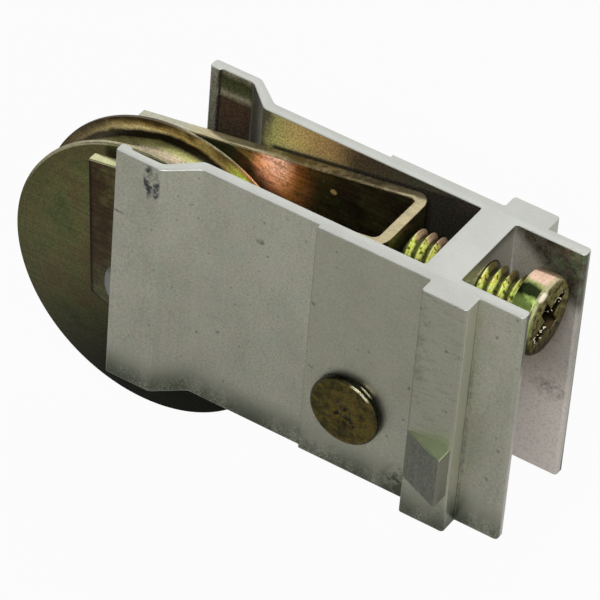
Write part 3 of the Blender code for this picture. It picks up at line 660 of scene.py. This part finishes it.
def buildYoke(s, material):
    # each column of the grid is a rounded loop round the sheet's section, between a lower and an upper edge;
    # the columns lean more and more towards the cross piece, which is not square with the arms
    half, edge = s.sheet / 2, s.edge
    slope = math.tan(math.radians(s.lean))
    bendStart = s.cross - s.sheet - s.bendInside
    heel = bendStart - (s.top - s.earLow) * slope
    lowerX = np.array([s.endLow, s.chamferX, heel])
    lowerZ = np.array([s.low, s.chamferZ, s.earLow])
    armX = np.unique(np.concatenate([np.linspace(s.endLow, heel, s.armRows), lowerX]))
    share = (armX - s.endLow) / (heel - s.endLow)
    armTopX = s.endTop + share * (bendStart - s.endTop)
    armLowZ = np.interp(armX, lowerX, lowerZ)
    bend = np.linspace(0, math.pi / 2, s.bendRows)
    middle = s.bendInside + half
    bendX = bendStart + middle * np.sin(bend) + s.bendGap
    bendY = middle * (1 - np.cos(bend)) + half - s.outside
    bendLow = bendX - (s.top - s.crossLow) * slope
    level = np.ones(len(armX))
    arm = np.column_stack([armX, armTopX, armLowZ, level * (half - s.outside), level * 0])
    turn = np.column_stack([bendLow, bendX, np.full(len(bend), s.crossLow), bendY, bend])
    nearSide = np.concatenate([arm, turn])
    farSide = nearSide[::-1] * (1, 1, 1, -1, -1) + (0, 0, 0, 0, math.pi)
    strip = np.concatenate([nearSide, farSide])
    quarter = np.linspace(0, math.pi / 2, s.edgeSteps)
    inset, fall = edge * (1 - np.cos(quarter)), edge * (1 - np.sin(quarter))
    across = np.concatenate([half - inset, inset[::-1] - half])
    across = np.concatenate([across, across[::-1]])
    drop = np.concatenate([fall, fall[::-1], fall, fall[::-1]])
    upper = np.arange(len(across)) < len(across) // 2
    lowX, topX, lowZ, midY, heading = (strip[:, k][:, None] for k in range(5))
    x = np.where(upper, topX, lowX) + across * np.sin(heading)
    y = midY - across * np.cos(heading)
    z = np.where(upper, s.top - drop, lowZ + drop)
    points = tilted(np.stack([x, y, z], -1) * mm)
    piece = newPiece("yoke_sheet", *solidOfRings(points), material, "yoke", "yoke_plated", ["yoke"])
    ear = brokenSides(s.ear, half - s.earInset, s.earEdge)
    for side, label in ((-1, "near"), (1, "far")):
        centre = pivot + (0, side * (s.outside - half) * mm, 0)
        roundPiece("yoke_ear_" + label, ear, centre, s.earSteps, material, "yoke", "yoke_plated")
    return piece


yoke = buildYoke(yokeSizes, makeYokeFinish("yoke_chromate", yokeLook))
print("yoke:", len(yoke.data.polygons), "faces")


# wheel

wheelSizes = Named(
    radius=17.6, half=3.05, land=0.5, groove=2.5, grooveSteps=41, bore=5.55, boreEdge=0.2,
    edge=0.14, steps=256, crease=28,
)
wheelLook = Named(
    drift=120, stops=chromate.stops, roughness=(0.2, 0.34), contrast=0.4, relief=0.14,
    groove=[  # from the middle of the groove out to its lip; the near-black band below the lip is painted shade
        (0, (0.66, 0.51, 0.39)), (0.26, (0.6, 0.51, 0.32)), (0.46, (0.48, 0.48, 0.17)),
        (0.6, (0.32, 0.29, 0.11)), (0.67, (0.032, 0.026, 0.011)), (0.82, (0.03, 0.022, 0.01)),
        (0.89, (0.7, 0.56, 0.25)), (0.95, (0.52, 0.39, 0.15)), (1, (0.16, 0.11, 0.045)),
    ],
    noises=dict(
        grain=(4200, 4, 0.7), drifting=(130, 4, 0.6),
        scratch=(1, 4, 0.7, (110, 1, 3600), (0, 0, 0), (0, 0.9, 0)),
    ),
    fineShares=(0.35, 0.65), bandWander=0.5, oilyWay=(0.5, 0, -0.87),
    layers=[  # towards the rim, on the back, and painted shade darkening the lower right
        ((0.1, 0.088, 0.03), ("reach", 13.5, 17.2, 0, 0.6)), ((0.17, 0.115, 0.065), ("y", 0, 2.9, 0, 0.7)),
        ((0.006, 0.006, 0.003), ("oily", -8, 14.5, 0, 0.98)),
    ],
    grooveLayers=[  # painted shadow at the left, a painted lime highlight at the upper right
        ((0.075, 0.055, 0.025), ("east", -5, -15, 0, 0.85), ("across", 0.25, 0.7)),
        ((0.74, 0.82, 0.24), ("east", 5.5, 7.5), ("reach", 17.36, 17.26), ("up", 10, 13)),
    ],
    inGroove=(("across", 1.08, 1), ("reach", 14.6, 14.9)),
    lips=[  # a painted highlight along the far land, painted shadow on its left part, and a painted highlight on the near lip
        ((0.92, 0.84, 0.56), ("reach", 17.46, 17.52), ("east", -4, 6), ("y", 2.66, 2.76)),
        ((0.075, 0.055, 0.025), ("reach", 17.3, 17.4), ("y", 2.5, 2.6), ("east", 4, -4)),
        ((0.92, 0.84, 0.56), ("reach", 17.25, 17.35), ("y", -2.5, -2.6), ("up", 4, 12, 0, 0.35)),
    ],
    oilyMetal=("oily", -8, 14.5, 0.8, 0.996),  # as far as the painted shade layer
)


def makeWheelFinish(name, look, sizes):
    # brown towards the rim and on the back, painted shade at the lower right, and bands of pink, lime, dark
    # olive and gold across the groove, with painted shade, shadow and highlights in and along it
    f, colour = chromateBase(name, look)
    turnedLines(f, axle)
    f.at.east, f.at.up = f.along((1, 0, 0), axle), f.along((0, 0, 1), axle)
    # painted shade: darker towards the lower right
    f.at.oily = f.along(look.oilyWay, axle)
    f.at.across = f.maths("DIVIDE", f.maths("ABSOLUTE", f.at.y), sizes.half - sizes.land)
    bands = f.ramp(f.wander(f.at.across, "drifting", look.bandWander), look.groove)
    groove = (f.painted(bands, look.grooveLayers), *look.inGroove)
    colour = f.painted(colour, look.layers + [groove] + look.lips)
    fine = f.blended(("lines", "scratch"), look.fineShares)
    return chromateEnd(f, colour, fine, f.at.grain, look, f.zone(look.oilyMetal))


def buildWheel(s, material):
    # face, rim edge, land, a half-ellipse groove, and the same again, closed through the bore
    turn = np.linspace(0, math.pi, s.grooveSteps)
    groove = np.column_stack([
        s.radius - s.groove * np.sin(turn), (s.half - s.land) * -np.cos(turn)])
    nearRim, farRim = np.split(brokenSides(s.radius, s.half, s.edge), 2)
    half, edge, wide = s.half, s.boreEdge, s.bore + s.boreEdge
    bore = [(wide, half), (s.bore, half - edge), (s.bore, edge - half), (wide, -half)]
    profile = np.concatenate([nearRim, groove, farRim, bore])
    return roundPiece(
        "wheel_disc", profile, axle, s.steps, material, "wheel", "wheel_plated", ["wheel"], True, s.crease)


wheel = buildWheel(wheelSizes, makeWheelFinish("wheel_chromate", wheelLook, wheelSizes))
print("wheel:", len(wheel.data.polygons), "faces")


# pivot rivet

pivotSizes = Named(
    shank=2.38, head=4.35, seat=7.7, height=0.9, edge=0.36, edgeSteps=6, under=0.1,
    ring=0.825, ringWidth=0.28, ringDepth=0.2, crown=0.06, faceRows=40, steps=128,
)
rivetLook = Named(
    drift=280, roughness=(0.22, 0.36), contrast=0.55, relief=0.2,
    stops=[
        (0.3, (0.03, 0.026, 0.004)), (0.45, (0.058, 0.048, 0.008)), (0.56, (0.108, 0.074, 0.012)),
        (0.7, (0.058, 0.058, 0.011)),
    ],
    layers=[  # the rim and the side, darkened as painted shade
        ((0.055, 0.048, 0.018), ("reach", 3.95, 4.25)), ((0.01, 0.01, 0.005), ("reach", 4.27, 4.34)),
    ],
    glint=(1, 0.94, 0.62), mark=(0.008, 0.008, 0.004),
    glints=[  # painted highlights on the rim and by the seat: place from the pivot, half sizes, limits
        ((1.9, -8.5, 3.7), (1.1, 0.6, 0.9), ("reach", 4.02, 4.1), ("reach", 4.3, 4.22)),
        ((2.35, -7.76, 3.66), (0.8, 0.26, 0.6), ("reach", 4.3, 4.34)),
    ],
    glintEdge=0.5,
    marks=[  # dark pits round the middle, from the pivot
        ((0.6, -8.6, -0.5), (0.55, 0.6, 0.5)), ((-0.7, -8.6, -0.5), (0.5, 0.6, 0.3)),
        ((0.3, -8.6, -1.5), (0.9, 0.6, 0.4)), ((1.2, -8.6, -1.3), (0.4, 0.6, 0.6)),
        ((0, -8.6, 0.5), (0.5, 0.6, 0.25)),
    ],
    noises=dict(grain=(2600, 4, 0.7), tears=(1500, 4, 0.7)), ragged=("tears", 0.4, 0.58),
    fineShares=(0.3, 0.7),
)


def makeRivetFinish(name, look):
    # dull olive brown with pits in the middle, a side and rim darkened as painted shade, and painted
    # highlights on the rim and by the seat
    f, colour = chromateBase(name, look)
    turnedLines(f, pivot)
    f.at.ragged = f.zone(look.ragged)
    middle = pivot / mm
    colour = f.spotted(colour, [(middle + at, size, look.mark, 1.0) for at, size in look.marks])
    glint = 0.0
    for at, size, *limits in look.glints:
        glint = f.larger(glint, f.times(f.spot(middle + at, size, look.glintEdge), f.zone(*limits)))
    colour = f.mix(glint, f.painted(colour, look.layers), look.glint)
    return chromateEnd(f, colour, f.blended(("lines", "cloud"), look.fineShares), f.at.grain, look)


def mirroredEnds(farHalf):
    # a rivet's profile from its far end to its near end
    return np.concatenate([farHalf, farHalf[::-1] * (1, -1)])


def buildPivot(s, material):
    # crowned face with a shallow ring round its middle, its edge, the shank, and the same mirrored
    top = s.seat + s.height
    reach = np.linspace(pole, s.head - s.edge, s.faceRows)
    ring = s.ringDepth * np.exp(-((reach - s.ring) / s.ringWidth) ** 2)
    face = np.column_stack([reach, top - s.crown * (reach / s.head) ** 2 - ring])
    corner = brokenEdge(s.head, top - s.crown, s.edge, 1, s.edgeSteps)[1:]
    side = [(s.head, s.seat + s.under), (s.head - s.under, s.seat), (s.shank, s.seat)]
    profile = mirroredEnds(np.concatenate([face, corner, side]))
    roundPiece(
        "pivot_rivet_turned", profile, pivot, s.steps, material, "housing", "rivet_plated", ["pivot_rivet"])


buildPivot(pivotSizes, makeRivetFinish("rivet_chromate", rivetLook))


# bare steel: axle rivet, pivot sleeve, and the nodes that keep their CAD shape

steelLook = Named(
    noises=dict(tarnish=(500, 4, 0.6), lines=(1, 3, 0.6, (300, 4200, 300))),
    tarnished=("tarnish", 0.35, 0.7), roughTone=(0.3, 0.7), relief=(0.12, 0.01),
    kinds={  # clean colour, tarnish and roughness
        "axle_zinc": ((0.27, 0.27, 0.245), (0.1, 0.095, 0.075), (0.26, 0.4)),
        "plain_steel": ((0.3, 0.27, 0.21), (0.2, 0.165, 0.11), (0.24, 0.4)),
        "race_steel": ((0.56, 0.56, 0.56), (0.46, 0.46, 0.47), (0.1, 0.2)),
        "ball_steel": ((0.64, 0.64, 0.65), (0.58, 0.58, 0.6), (0.05, 0.09)),
        "cage_steel": ((0.46, 0.44, 0.4), (0.36, 0.34, 0.3), (0.26, 0.38)),
        "shield_steel": ((0.5, 0.5, 0.49), (0.4, 0.4, 0.38), (0.2, 0.32)),
    },
)


def makeSteel(name, look):
    # fine turned lines and a faint tarnish
    f = Finish(name, look)
    clean, tarnish, roughness = look.kinds[name]
    rough = f.span(f.at.lines, *look.roughTone, *roughness)
    return f.done(f.mix(f.zone(look.tarnished), clean, tarnish), 1.0, rough, f.at.lines, *look.relief)


axleSizes = Named(shank=2.3, head=3.9, seat=5.55, height=1.2, under=0.1, domeRows=24, steps=96)
sleeveSizes = Named(inside=2.58, outside=3.68, half=3.85, edge=0.15, steps=96)


def buildAxle(s, material):
    # a low domed head, height times the root of 1 - (r / head) squared, at each end of the shank
    turn = np.linspace(pole / s.head, math.pi / 2, s.domeRows)
    dome = np.column_stack([s.head * np.sin(turn), s.seat + s.height * np.cos(turn)])
    side = [(s.head - s.under, s.seat), (s.shank, s.seat)]
    profile = mirroredEnds(np.concatenate([dome, side]))
    roundPiece("axle_rivet_turned", profile, axle, s.steps, material, "yoke", "axle_steel", ["axle_rivet"])


def buildSleeve(s, material):
    outer = brokenSides(s.outside, s.half, s.edge)
    profile = np.concatenate([outer, [(s.inside, s.half), (s.inside, -s.half)]])
    roundPiece(
        "pivot_sleeve_tube", profile, pivot, s.steps, material, "housing", "steel", ["pivot_sleeve"], True)


steel = {name: makeSteel(name, steelLook) for name in steelLook.kinds}
buildAxle(axleSizes, steel["axle_zinc"])
buildSleeve(sleeveSizes, steel["plain_steel"])
nodeFinish = {
    "bearing_outer_race": "race_steel", "bearing_inner_race": "race_steel", "bearing_cage": "cage_steel",
    "bearing_shield": "shield_steel", "bearing_ball": "ball_steel", "axle_spacer": "plain_steel",
}
for name, node in frame["nodes"].items():
    for start, finish in nodeFinish.items():
        if name.startswith(start):
            node.data.materials.clear()
            node.data.materials.append(steel[finish])
print("rivets, sleeve and bearing ready")


# adjusting screw: cheese head with a slot and a cross, and a single-start thread

screwSizes = Named(
    drop=5.05, pitch=1.27, crest=3.12, root=2.36, neck=2.75, flat=0.12, flank=0.80,
    tip=-7.69, tipRadius=1.9, tipLength=0.75, crown=0.3, runout=0.7, start=0.56,
    perPitch=30, steps=96, seat=7.175, head=4.6, height=2.9, edge=0.7, edgeSteps=8,
    under=(0.12, 0.03), crease=40, turn=32, mouth=0.5,
    bars=[  # length, width, depth, further turn and taper of the slot and of the cross
        (6.6, 1.2, 1.3, 0, 1.0), (4.7, 1.5, 2.2, 0, 0.72), (4.7, 1.5, 2.2, 90, 0.72),
    ],
)
screwLook = Named(
    drift=240, roughness=(0.12, 0.24), contrast=0.16, relief=0.08, grazing=(0.4, 0.34, 0.2, 1),
    stops=[
        (0.3, (0.52, 0.74, 0.08)), (0.42, (0.76, 0.96, 0.14)), (0.54, (0.88, 0.86, 0.2)),
        (0.62, (0.8, 0.58, 0.28)), (0.74, (0.62, 0.88, 0.12)),
    ],
    side=[  # painted reflection bands across the head, from its far side to its near side
        (0, (0.46, 0.4, 0.2)), (0.2, (0.6, 0.48, 0.26)), (0.32, (0.88, 0.62, 0.46)),
        (0.53, (0.84, 0.58, 0.43)), (0.59, (0.38, 0.42, 0.16)), (0.65, (0.022, 0.034, 0.01)),
        (0.77, (0.016, 0.026, 0.008)), (0.85, (0.56, 0.78, 0.2)), (1, (0.4, 0.56, 0.15)),
    ],
    noises=dict(
        grain=(3600, 4, 0.7), drifting=(500, 3, 0.6), sparkle=(2300, 2, 0.5),
        mottle=(1400, 4, 0.75), glints=(1900, 2, 0.5), lines=(1, 3, 0.6, (2600, 600, 600)),
    ),
    # bright specks painted as sparkling highlights, and dark pits
    speckles=[
        ((0.98, 1, 0.46), ("sparkle", 0.52, 0.6, 0, 0.9)),
        ((0.05, 0.06, 0.014), ("sparkle", 0.45, 0.36, 0, 0.85)),
    ],
    # the thread's top side, painted apart from its lime front: pink left of the web, and dark brown right of
    # it as painted shade
    innerTop=(0.62, 0.4, 0.28), threadTop=[((0.13, 0.085, 0.04), ("x", -1, 1))],
    onTop=(("farwards", -0.4, 0.7, 0.9, 0), ("above", 0, 1)),
    # painted shade in the thread's roots
    root=((0.03, 0.034, 0.01), ("pastRoot", 0.05, 0.45, 0.92, 0)), wander=2.2, sideWander=0.8,
    onHead=("pastSeat", -0.1, 0.1),
    edges=[  # painted shade on the lower half of the head, and a painted highlight on the rounding of its face
        ((0.045, 0.04, 0.018), ("pastSeat", -0.1, 0.1), ("above", 1.2, -0.8)),
        ((0.54, 0.5, 0.29), ("pastFace", -0.62, -0.5), ("above", 0.6, 2.2),
         ("sparkle", 0.36, 0.56, 0.25, 0.9)),
    ],
    flat=(0.185, 0.172, 0.082), flatShares=(0.1, 2), mottled=("mottle", 0.36, 0.62),
    flatShade=("above", -4.2, 0.6, 0.25, 1), onFace=(("pastFace", -0.5, -0.15), ("away", 4.4, 4)),
    # painted shade in the recess; painted highlights along the slot and on the rim
    recess=(0.05, 0.036, 0.016), glint=(1, 0.92, 0.7), rimGlint=((9.93, -1.7, -1.15), (0.28, 0.75, 0.4)),
    deep=(("pastSeat", -0.1, 0.1), ("away", 4.3, 4.1), ("pastFace", -0.02, -0.12)),
    slotEdge=(("beside", 1.05, 0.75), ("away", 3.6, 3.2), ("glints", 0.57, 0.61)), threadMetal=0.32,
)


def makeScrewFinish(name, look, sizes):
    # lime thread with painted shade in its roots, brown on top right of the web as painted shade and pink on
    # top left of it; the head's side is painted in reflection bands from pink to green, with painted shade
    # below, painted shade in the recess, and painted highlights along the slot and rim
    f, colour = chromateBase(name, look)
    x, y, z = (f.at[key] for key in "xyz")
    above = f.at.above = f.plus(z, sizes.drop)
    away = f.at.away = f.length(y, above)
    f.at.pastRoot, f.at.pastSeat = f.minus(away, sizes.root), f.minus(x, sizes.seat)
    f.at.pastFace = f.minus(x, sizes.seat + sizes.height)
    f.at.farwards = f.minus(f.wander(0.0, "drifting", look.wander), y)
    turn = math.radians(sizes.turn)
    beside = f.along((0, -math.sin(turn), math.cos(turn)), (0, 0, -sizes.drop * mm))
    f.at.beside = f.maths("ABSOLUTE", beside)
    across = f.minus(f.wander(0.0, "drifting", look.wander * look.sideWander), y)
    across = f.plus(f.maths("DIVIDE", across, 2 * sizes.head), 0.5)
    onHead, onFace, deep = f.zone(look.onHead), f.zone(*look.onFace), f.zone(*look.deep)
    flat = f.mix(f.zone(look.mottled), *(dimmed(look.flat, share) for share in look.flatShares))
    flat = f.shaded(flat, f.zone(look.flatShade))
    # painted highlights along the slot edges and on the rim
    glints = f.times(f.zone(*look.slotEdge), f.larger(onFace, deep))
    glints = f.larger(glints, f.spot(*look.rimGlint))
    # painted shade on the thread's top right of the web and in its roots
    top = (f.painted(look.innerTop, look.threadTop), *look.onTop)
    colour = f.painted(colour, look.speckles + [top, look.root])
    colour = f.painted(f.mix(onHead, colour, f.ramp(across, look.side)), look.edges)
    for mask, shade in ((onFace, flat), (deep, look.recess), (glints, look.glint)):
        colour = f.mix(mask, colour, shade)
    metal = f.span(onHead, 0.0, 1.0, look.threadMetal, chromate.metal, False)
    f.shader["Specular Tint"].default_value = look.grazing
    return chromateEnd(f, colour, f.at.lines, f.at.grain, look, f.times(metal, f.minus(1.0, glints)))


def buildScrew(s, material):
    # radius of the thread at (x, angle): a trapezoid wave of the helix phase x / pitch - angle / 2 pi
    face = s.seat + s.height
    rows = int((s.seat - s.tip) / s.pitch * s.perPitch)
    shankX = np.linspace(s.seat, s.tip, rows)
    phase = (shankX[:, None] / s.pitch - np.arange(s.steps) / s.steps - s.start) % 1
    wave = np.clip((np.abs(phase - 0.5) * 2 - s.flat) / s.flank, 0, 1)
    thread = s.root + (s.crest - s.root) * wave
    chamfer = s.tipRadius + (shankX - s.tip - s.crown) / s.tipLength * (s.crest - s.tipRadius)
    dome = (s.tipRadius ** 2 + s.crown ** 2) / (2 * s.crown)
    deep = np.clip(1 - (shankX - s.tip) / dome, -1, 1)
    domed = np.maximum(dome * np.sqrt(1 - deep * deep), pole)
    chamfer = np.where(shankX < s.tip + s.crown, domed, chamfer)[:, None]
    runout = np.clip((s.seat - shankX) / s.runout, 0, 1)[:, None]
    thread = np.minimum(thread, chamfer) * runout + (1 - runout) * np.minimum(s.neck, chamfer)
    corner = brokenEdge(s.head, face, s.edge, 1, s.edgeSteps)
    wide, thin = s.under
    headX = np.concatenate([[face], corner[:, 1], [s.seat + wide, s.seat + thin, s.seat]])
    headR = np.concatenate([[pole], corner[:, 0], [s.head, s.head - thin, s.head - wide]])
    headR = np.repeat(headR[:, None], s.steps, 1)
    radius = np.concatenate([headR, thread, np.full((1, s.steps), pole)])
    along = np.concatenate([headX, shankX, [s.tip]])
    lift = np.array([0, 0, -s.drop * mm])
    points = turnedGrid(radius * mm, along * mm, s.steps) + lift
    piece = newPiece(
        "adjusting_screw_cut", *solidOfRings(points), material, "screw", "screw_plated", ["adjusting_screw"],
        s.crease)
    shapes = []
    for long, wide, deep, extra, taper in s.bars:
        flat = np.array([(-long, -wide), (long, -wide), (long, wide), (-long, wide)]) / 2
        flat = np.stack(turnedPair(flat[:, 0], flat[:, 1], math.radians(s.turn + extra)), -1)
        mouth = np.column_stack([np.full(4, face + s.mouth), flat * (1 + (1 - taper) * s.mouth / deep)])
        floor = np.column_stack([np.full(4, face - deep), flat * taper])
        bar, faces = solidOfRings(np.array([mouth, floor]) * mm)
        shapes.append((bar + lift, faces))
    cutBy(piece, shapes, s.crease)
    return piece


screw = buildScrew(screwSizes, makeScrewFinish("screw_chromate", screwLook, screwSizes))
print("screw:", len(screw.data.polygons), "faces")


# studio

white = (1, 1, 1, 1)
studio = Named(floor=-48.6, size=3.0, cameraGlow=0.95, mirrorGlow=0.05, paper=0.51, fill=0.20)


def buildStudio(s):
    # white paper that keeps the shadow; the camera sees it near white, and metal sees its shadow too
    material = bpy.data.materials.new("studio_floor")
    material.use_nodes = True
    n = Nodes(material.node_tree)
    n.tree.nodes.remove(n.tree.nodes["Principled BSDF"])
    path = n.tree.nodes.new("ShaderNodeLightPath").outputs
    mirrored = n.plus(path["Is Glossy Ray"], path["Is Transmission Ray"], True)
    share = n.plus(n.times(path["Is Camera Ray"], s.cameraGlow), n.times(mirrored, s.mirrorGlow), True)
    glow = n.node("Emission", {"Color": white})
    paper = n.node("BsdfDiffuse", {"Color": (s.paper,) * 3 + (1,)})
    both = n.node("MixShader", {0: share, 1: paper, 2: glow})
    n.feed(n.tree.nodes["Material Output"].inputs["Surface"], both)
    half = s.size / 2
    mesh = bpy.data.meshes.new("studio_floor")
    corners = ((-half, -half), (half, -half), (half, half), (-half, half))
    mesh.from_pydata([(*corner, s.floor * mm) for corner in corners], [], [(0, 1, 2, 3)])
    mesh.materials.append(material)
    floor = inScene("studio_floor", mesh)
    world = bpy.data.worlds.new("studio")
    world.use_nodes = True
    bpy.context.scene.world = world
    n = Nodes(world.node_tree)
    path = n.tree.nodes.new("ShaderNodeLightPath").outputs
    mirrored = n.plus(path["Is Glossy Ray"], path["Is Transmission Ray"])
    seen = n.plus(path["Is Camera Ray"], mirrored, True)
    sky = n.tree.nodes["Background"].inputs
    sky["Color"].default_value = white
    n.feed(sky["Strength"], n.plus(n.times(seen, 1 - s.fill), s.fill))


lamps = [  # name, place, aim, size, power, and whether metal mirrors the lamp as well as the white world
    ("overhead", (-0.22, 0.42, 0.72), (-0.01, 0, -0.02), 1.10, 4.2, False),
    ("front", (0.54, -0.52, 0.46), (-0.01, 0, -0.01), 0.35, 0.4, False),
    ("front_glint", (0.54, -0.52, 0.46), (-0.01, 0, -0.01), 0.35, 1.4, True),
    ("fill", (0.14, -0.50, 0.52), (-0.01, 0, -0.01), 0.22, 1.0, False),
    ("fill_glint", (0.14, -0.50, 0.52), (-0.01, 0, -0.01), 0.22, 2.2, True),
]


def buildLamps():
    for name, place, aim, size, power, mirrored in lamps:
        light = bpy.data.lights.new(name, "AREA")
        light.shape, light.size, light.energy = "SQUARE", size, power
        lamp = inScene(name, light)
        lamp.location = place
        lamp.visible_glossy = mirrored
        lamp.rotation_euler = (Vector(aim) - Vector(place)).to_track_quat("-Z", "Y").to_euler()


flag = Named(radius=0.85, start=-115, end=45, low=0.12, high=1.30, steps=33, cloth=0.02)


def buildFlag(f):
    # a dark curtain in front, a piece of a cylinder wall, which the metal shows as its dark bands
    cloth = bpy.data.materials.new("flag_cloth")
    cloth.use_nodes = True
    shader = cloth.node_tree.nodes["Principled BSDF"].inputs
    shader["Base Color"].default_value = (f.cloth,) * 3 + (1,)
    shader["Roughness"].default_value = 1.0
    turn = np.radians(np.linspace(f.start, f.end, f.steps))
    edge = np.column_stack([f.radius * np.sin(turn), -f.radius * np.cos(turn)])
    rows = [np.column_stack([edge, np.full(f.steps, height)]) for height in (f.low, f.high)]
    mesh = bpy.data.meshes.new("flag_curtain")
    mesh.from_pydata(np.concatenate(rows).tolist(), [], gridQuads(2, f.steps).tolist())
    mesh.materials.append(cloth)
    curtain = inScene("flag_curtain", mesh)
    curtain.visible_camera = False


camera = Named(
    place=(0.175943, -0.344168, 0.325156), azimuth=29.666, elevation=40.943, roll=4.852,
    lens=288.05, sensor=36.0, clip=(0.01, 20.0),
)


def buildCamera(c):
    data = bpy.data.cameras.new("camera")
    data.lens, data.sensor_width, data.sensor_fit = c.lens, c.sensor, "HORIZONTAL"
    data.clip_start, data.clip_end = c.clip
    az, el = math.radians(c.azimuth), math.radians(c.elevation)
    forward = Vector((-math.sin(az) * math.cos(el), math.cos(az) * math.cos(el), -math.sin(el)))
    item = inScene("camera", data)
    item.rotation_mode = "QUATERNION"
    item.location = c.place
    item.rotation_quaternion = forward.to_track_quat("-Z", "Y") @ Quaternion((0, 0, 1), math.radians(c.roll))
    bpy.context.scene.camera = item


buildStudio(studio)
buildLamps()
buildFlag(flag)
buildCamera(camera)
bpy.context.scene.view_settings.view_transform = "Standard"
print("studio ready")
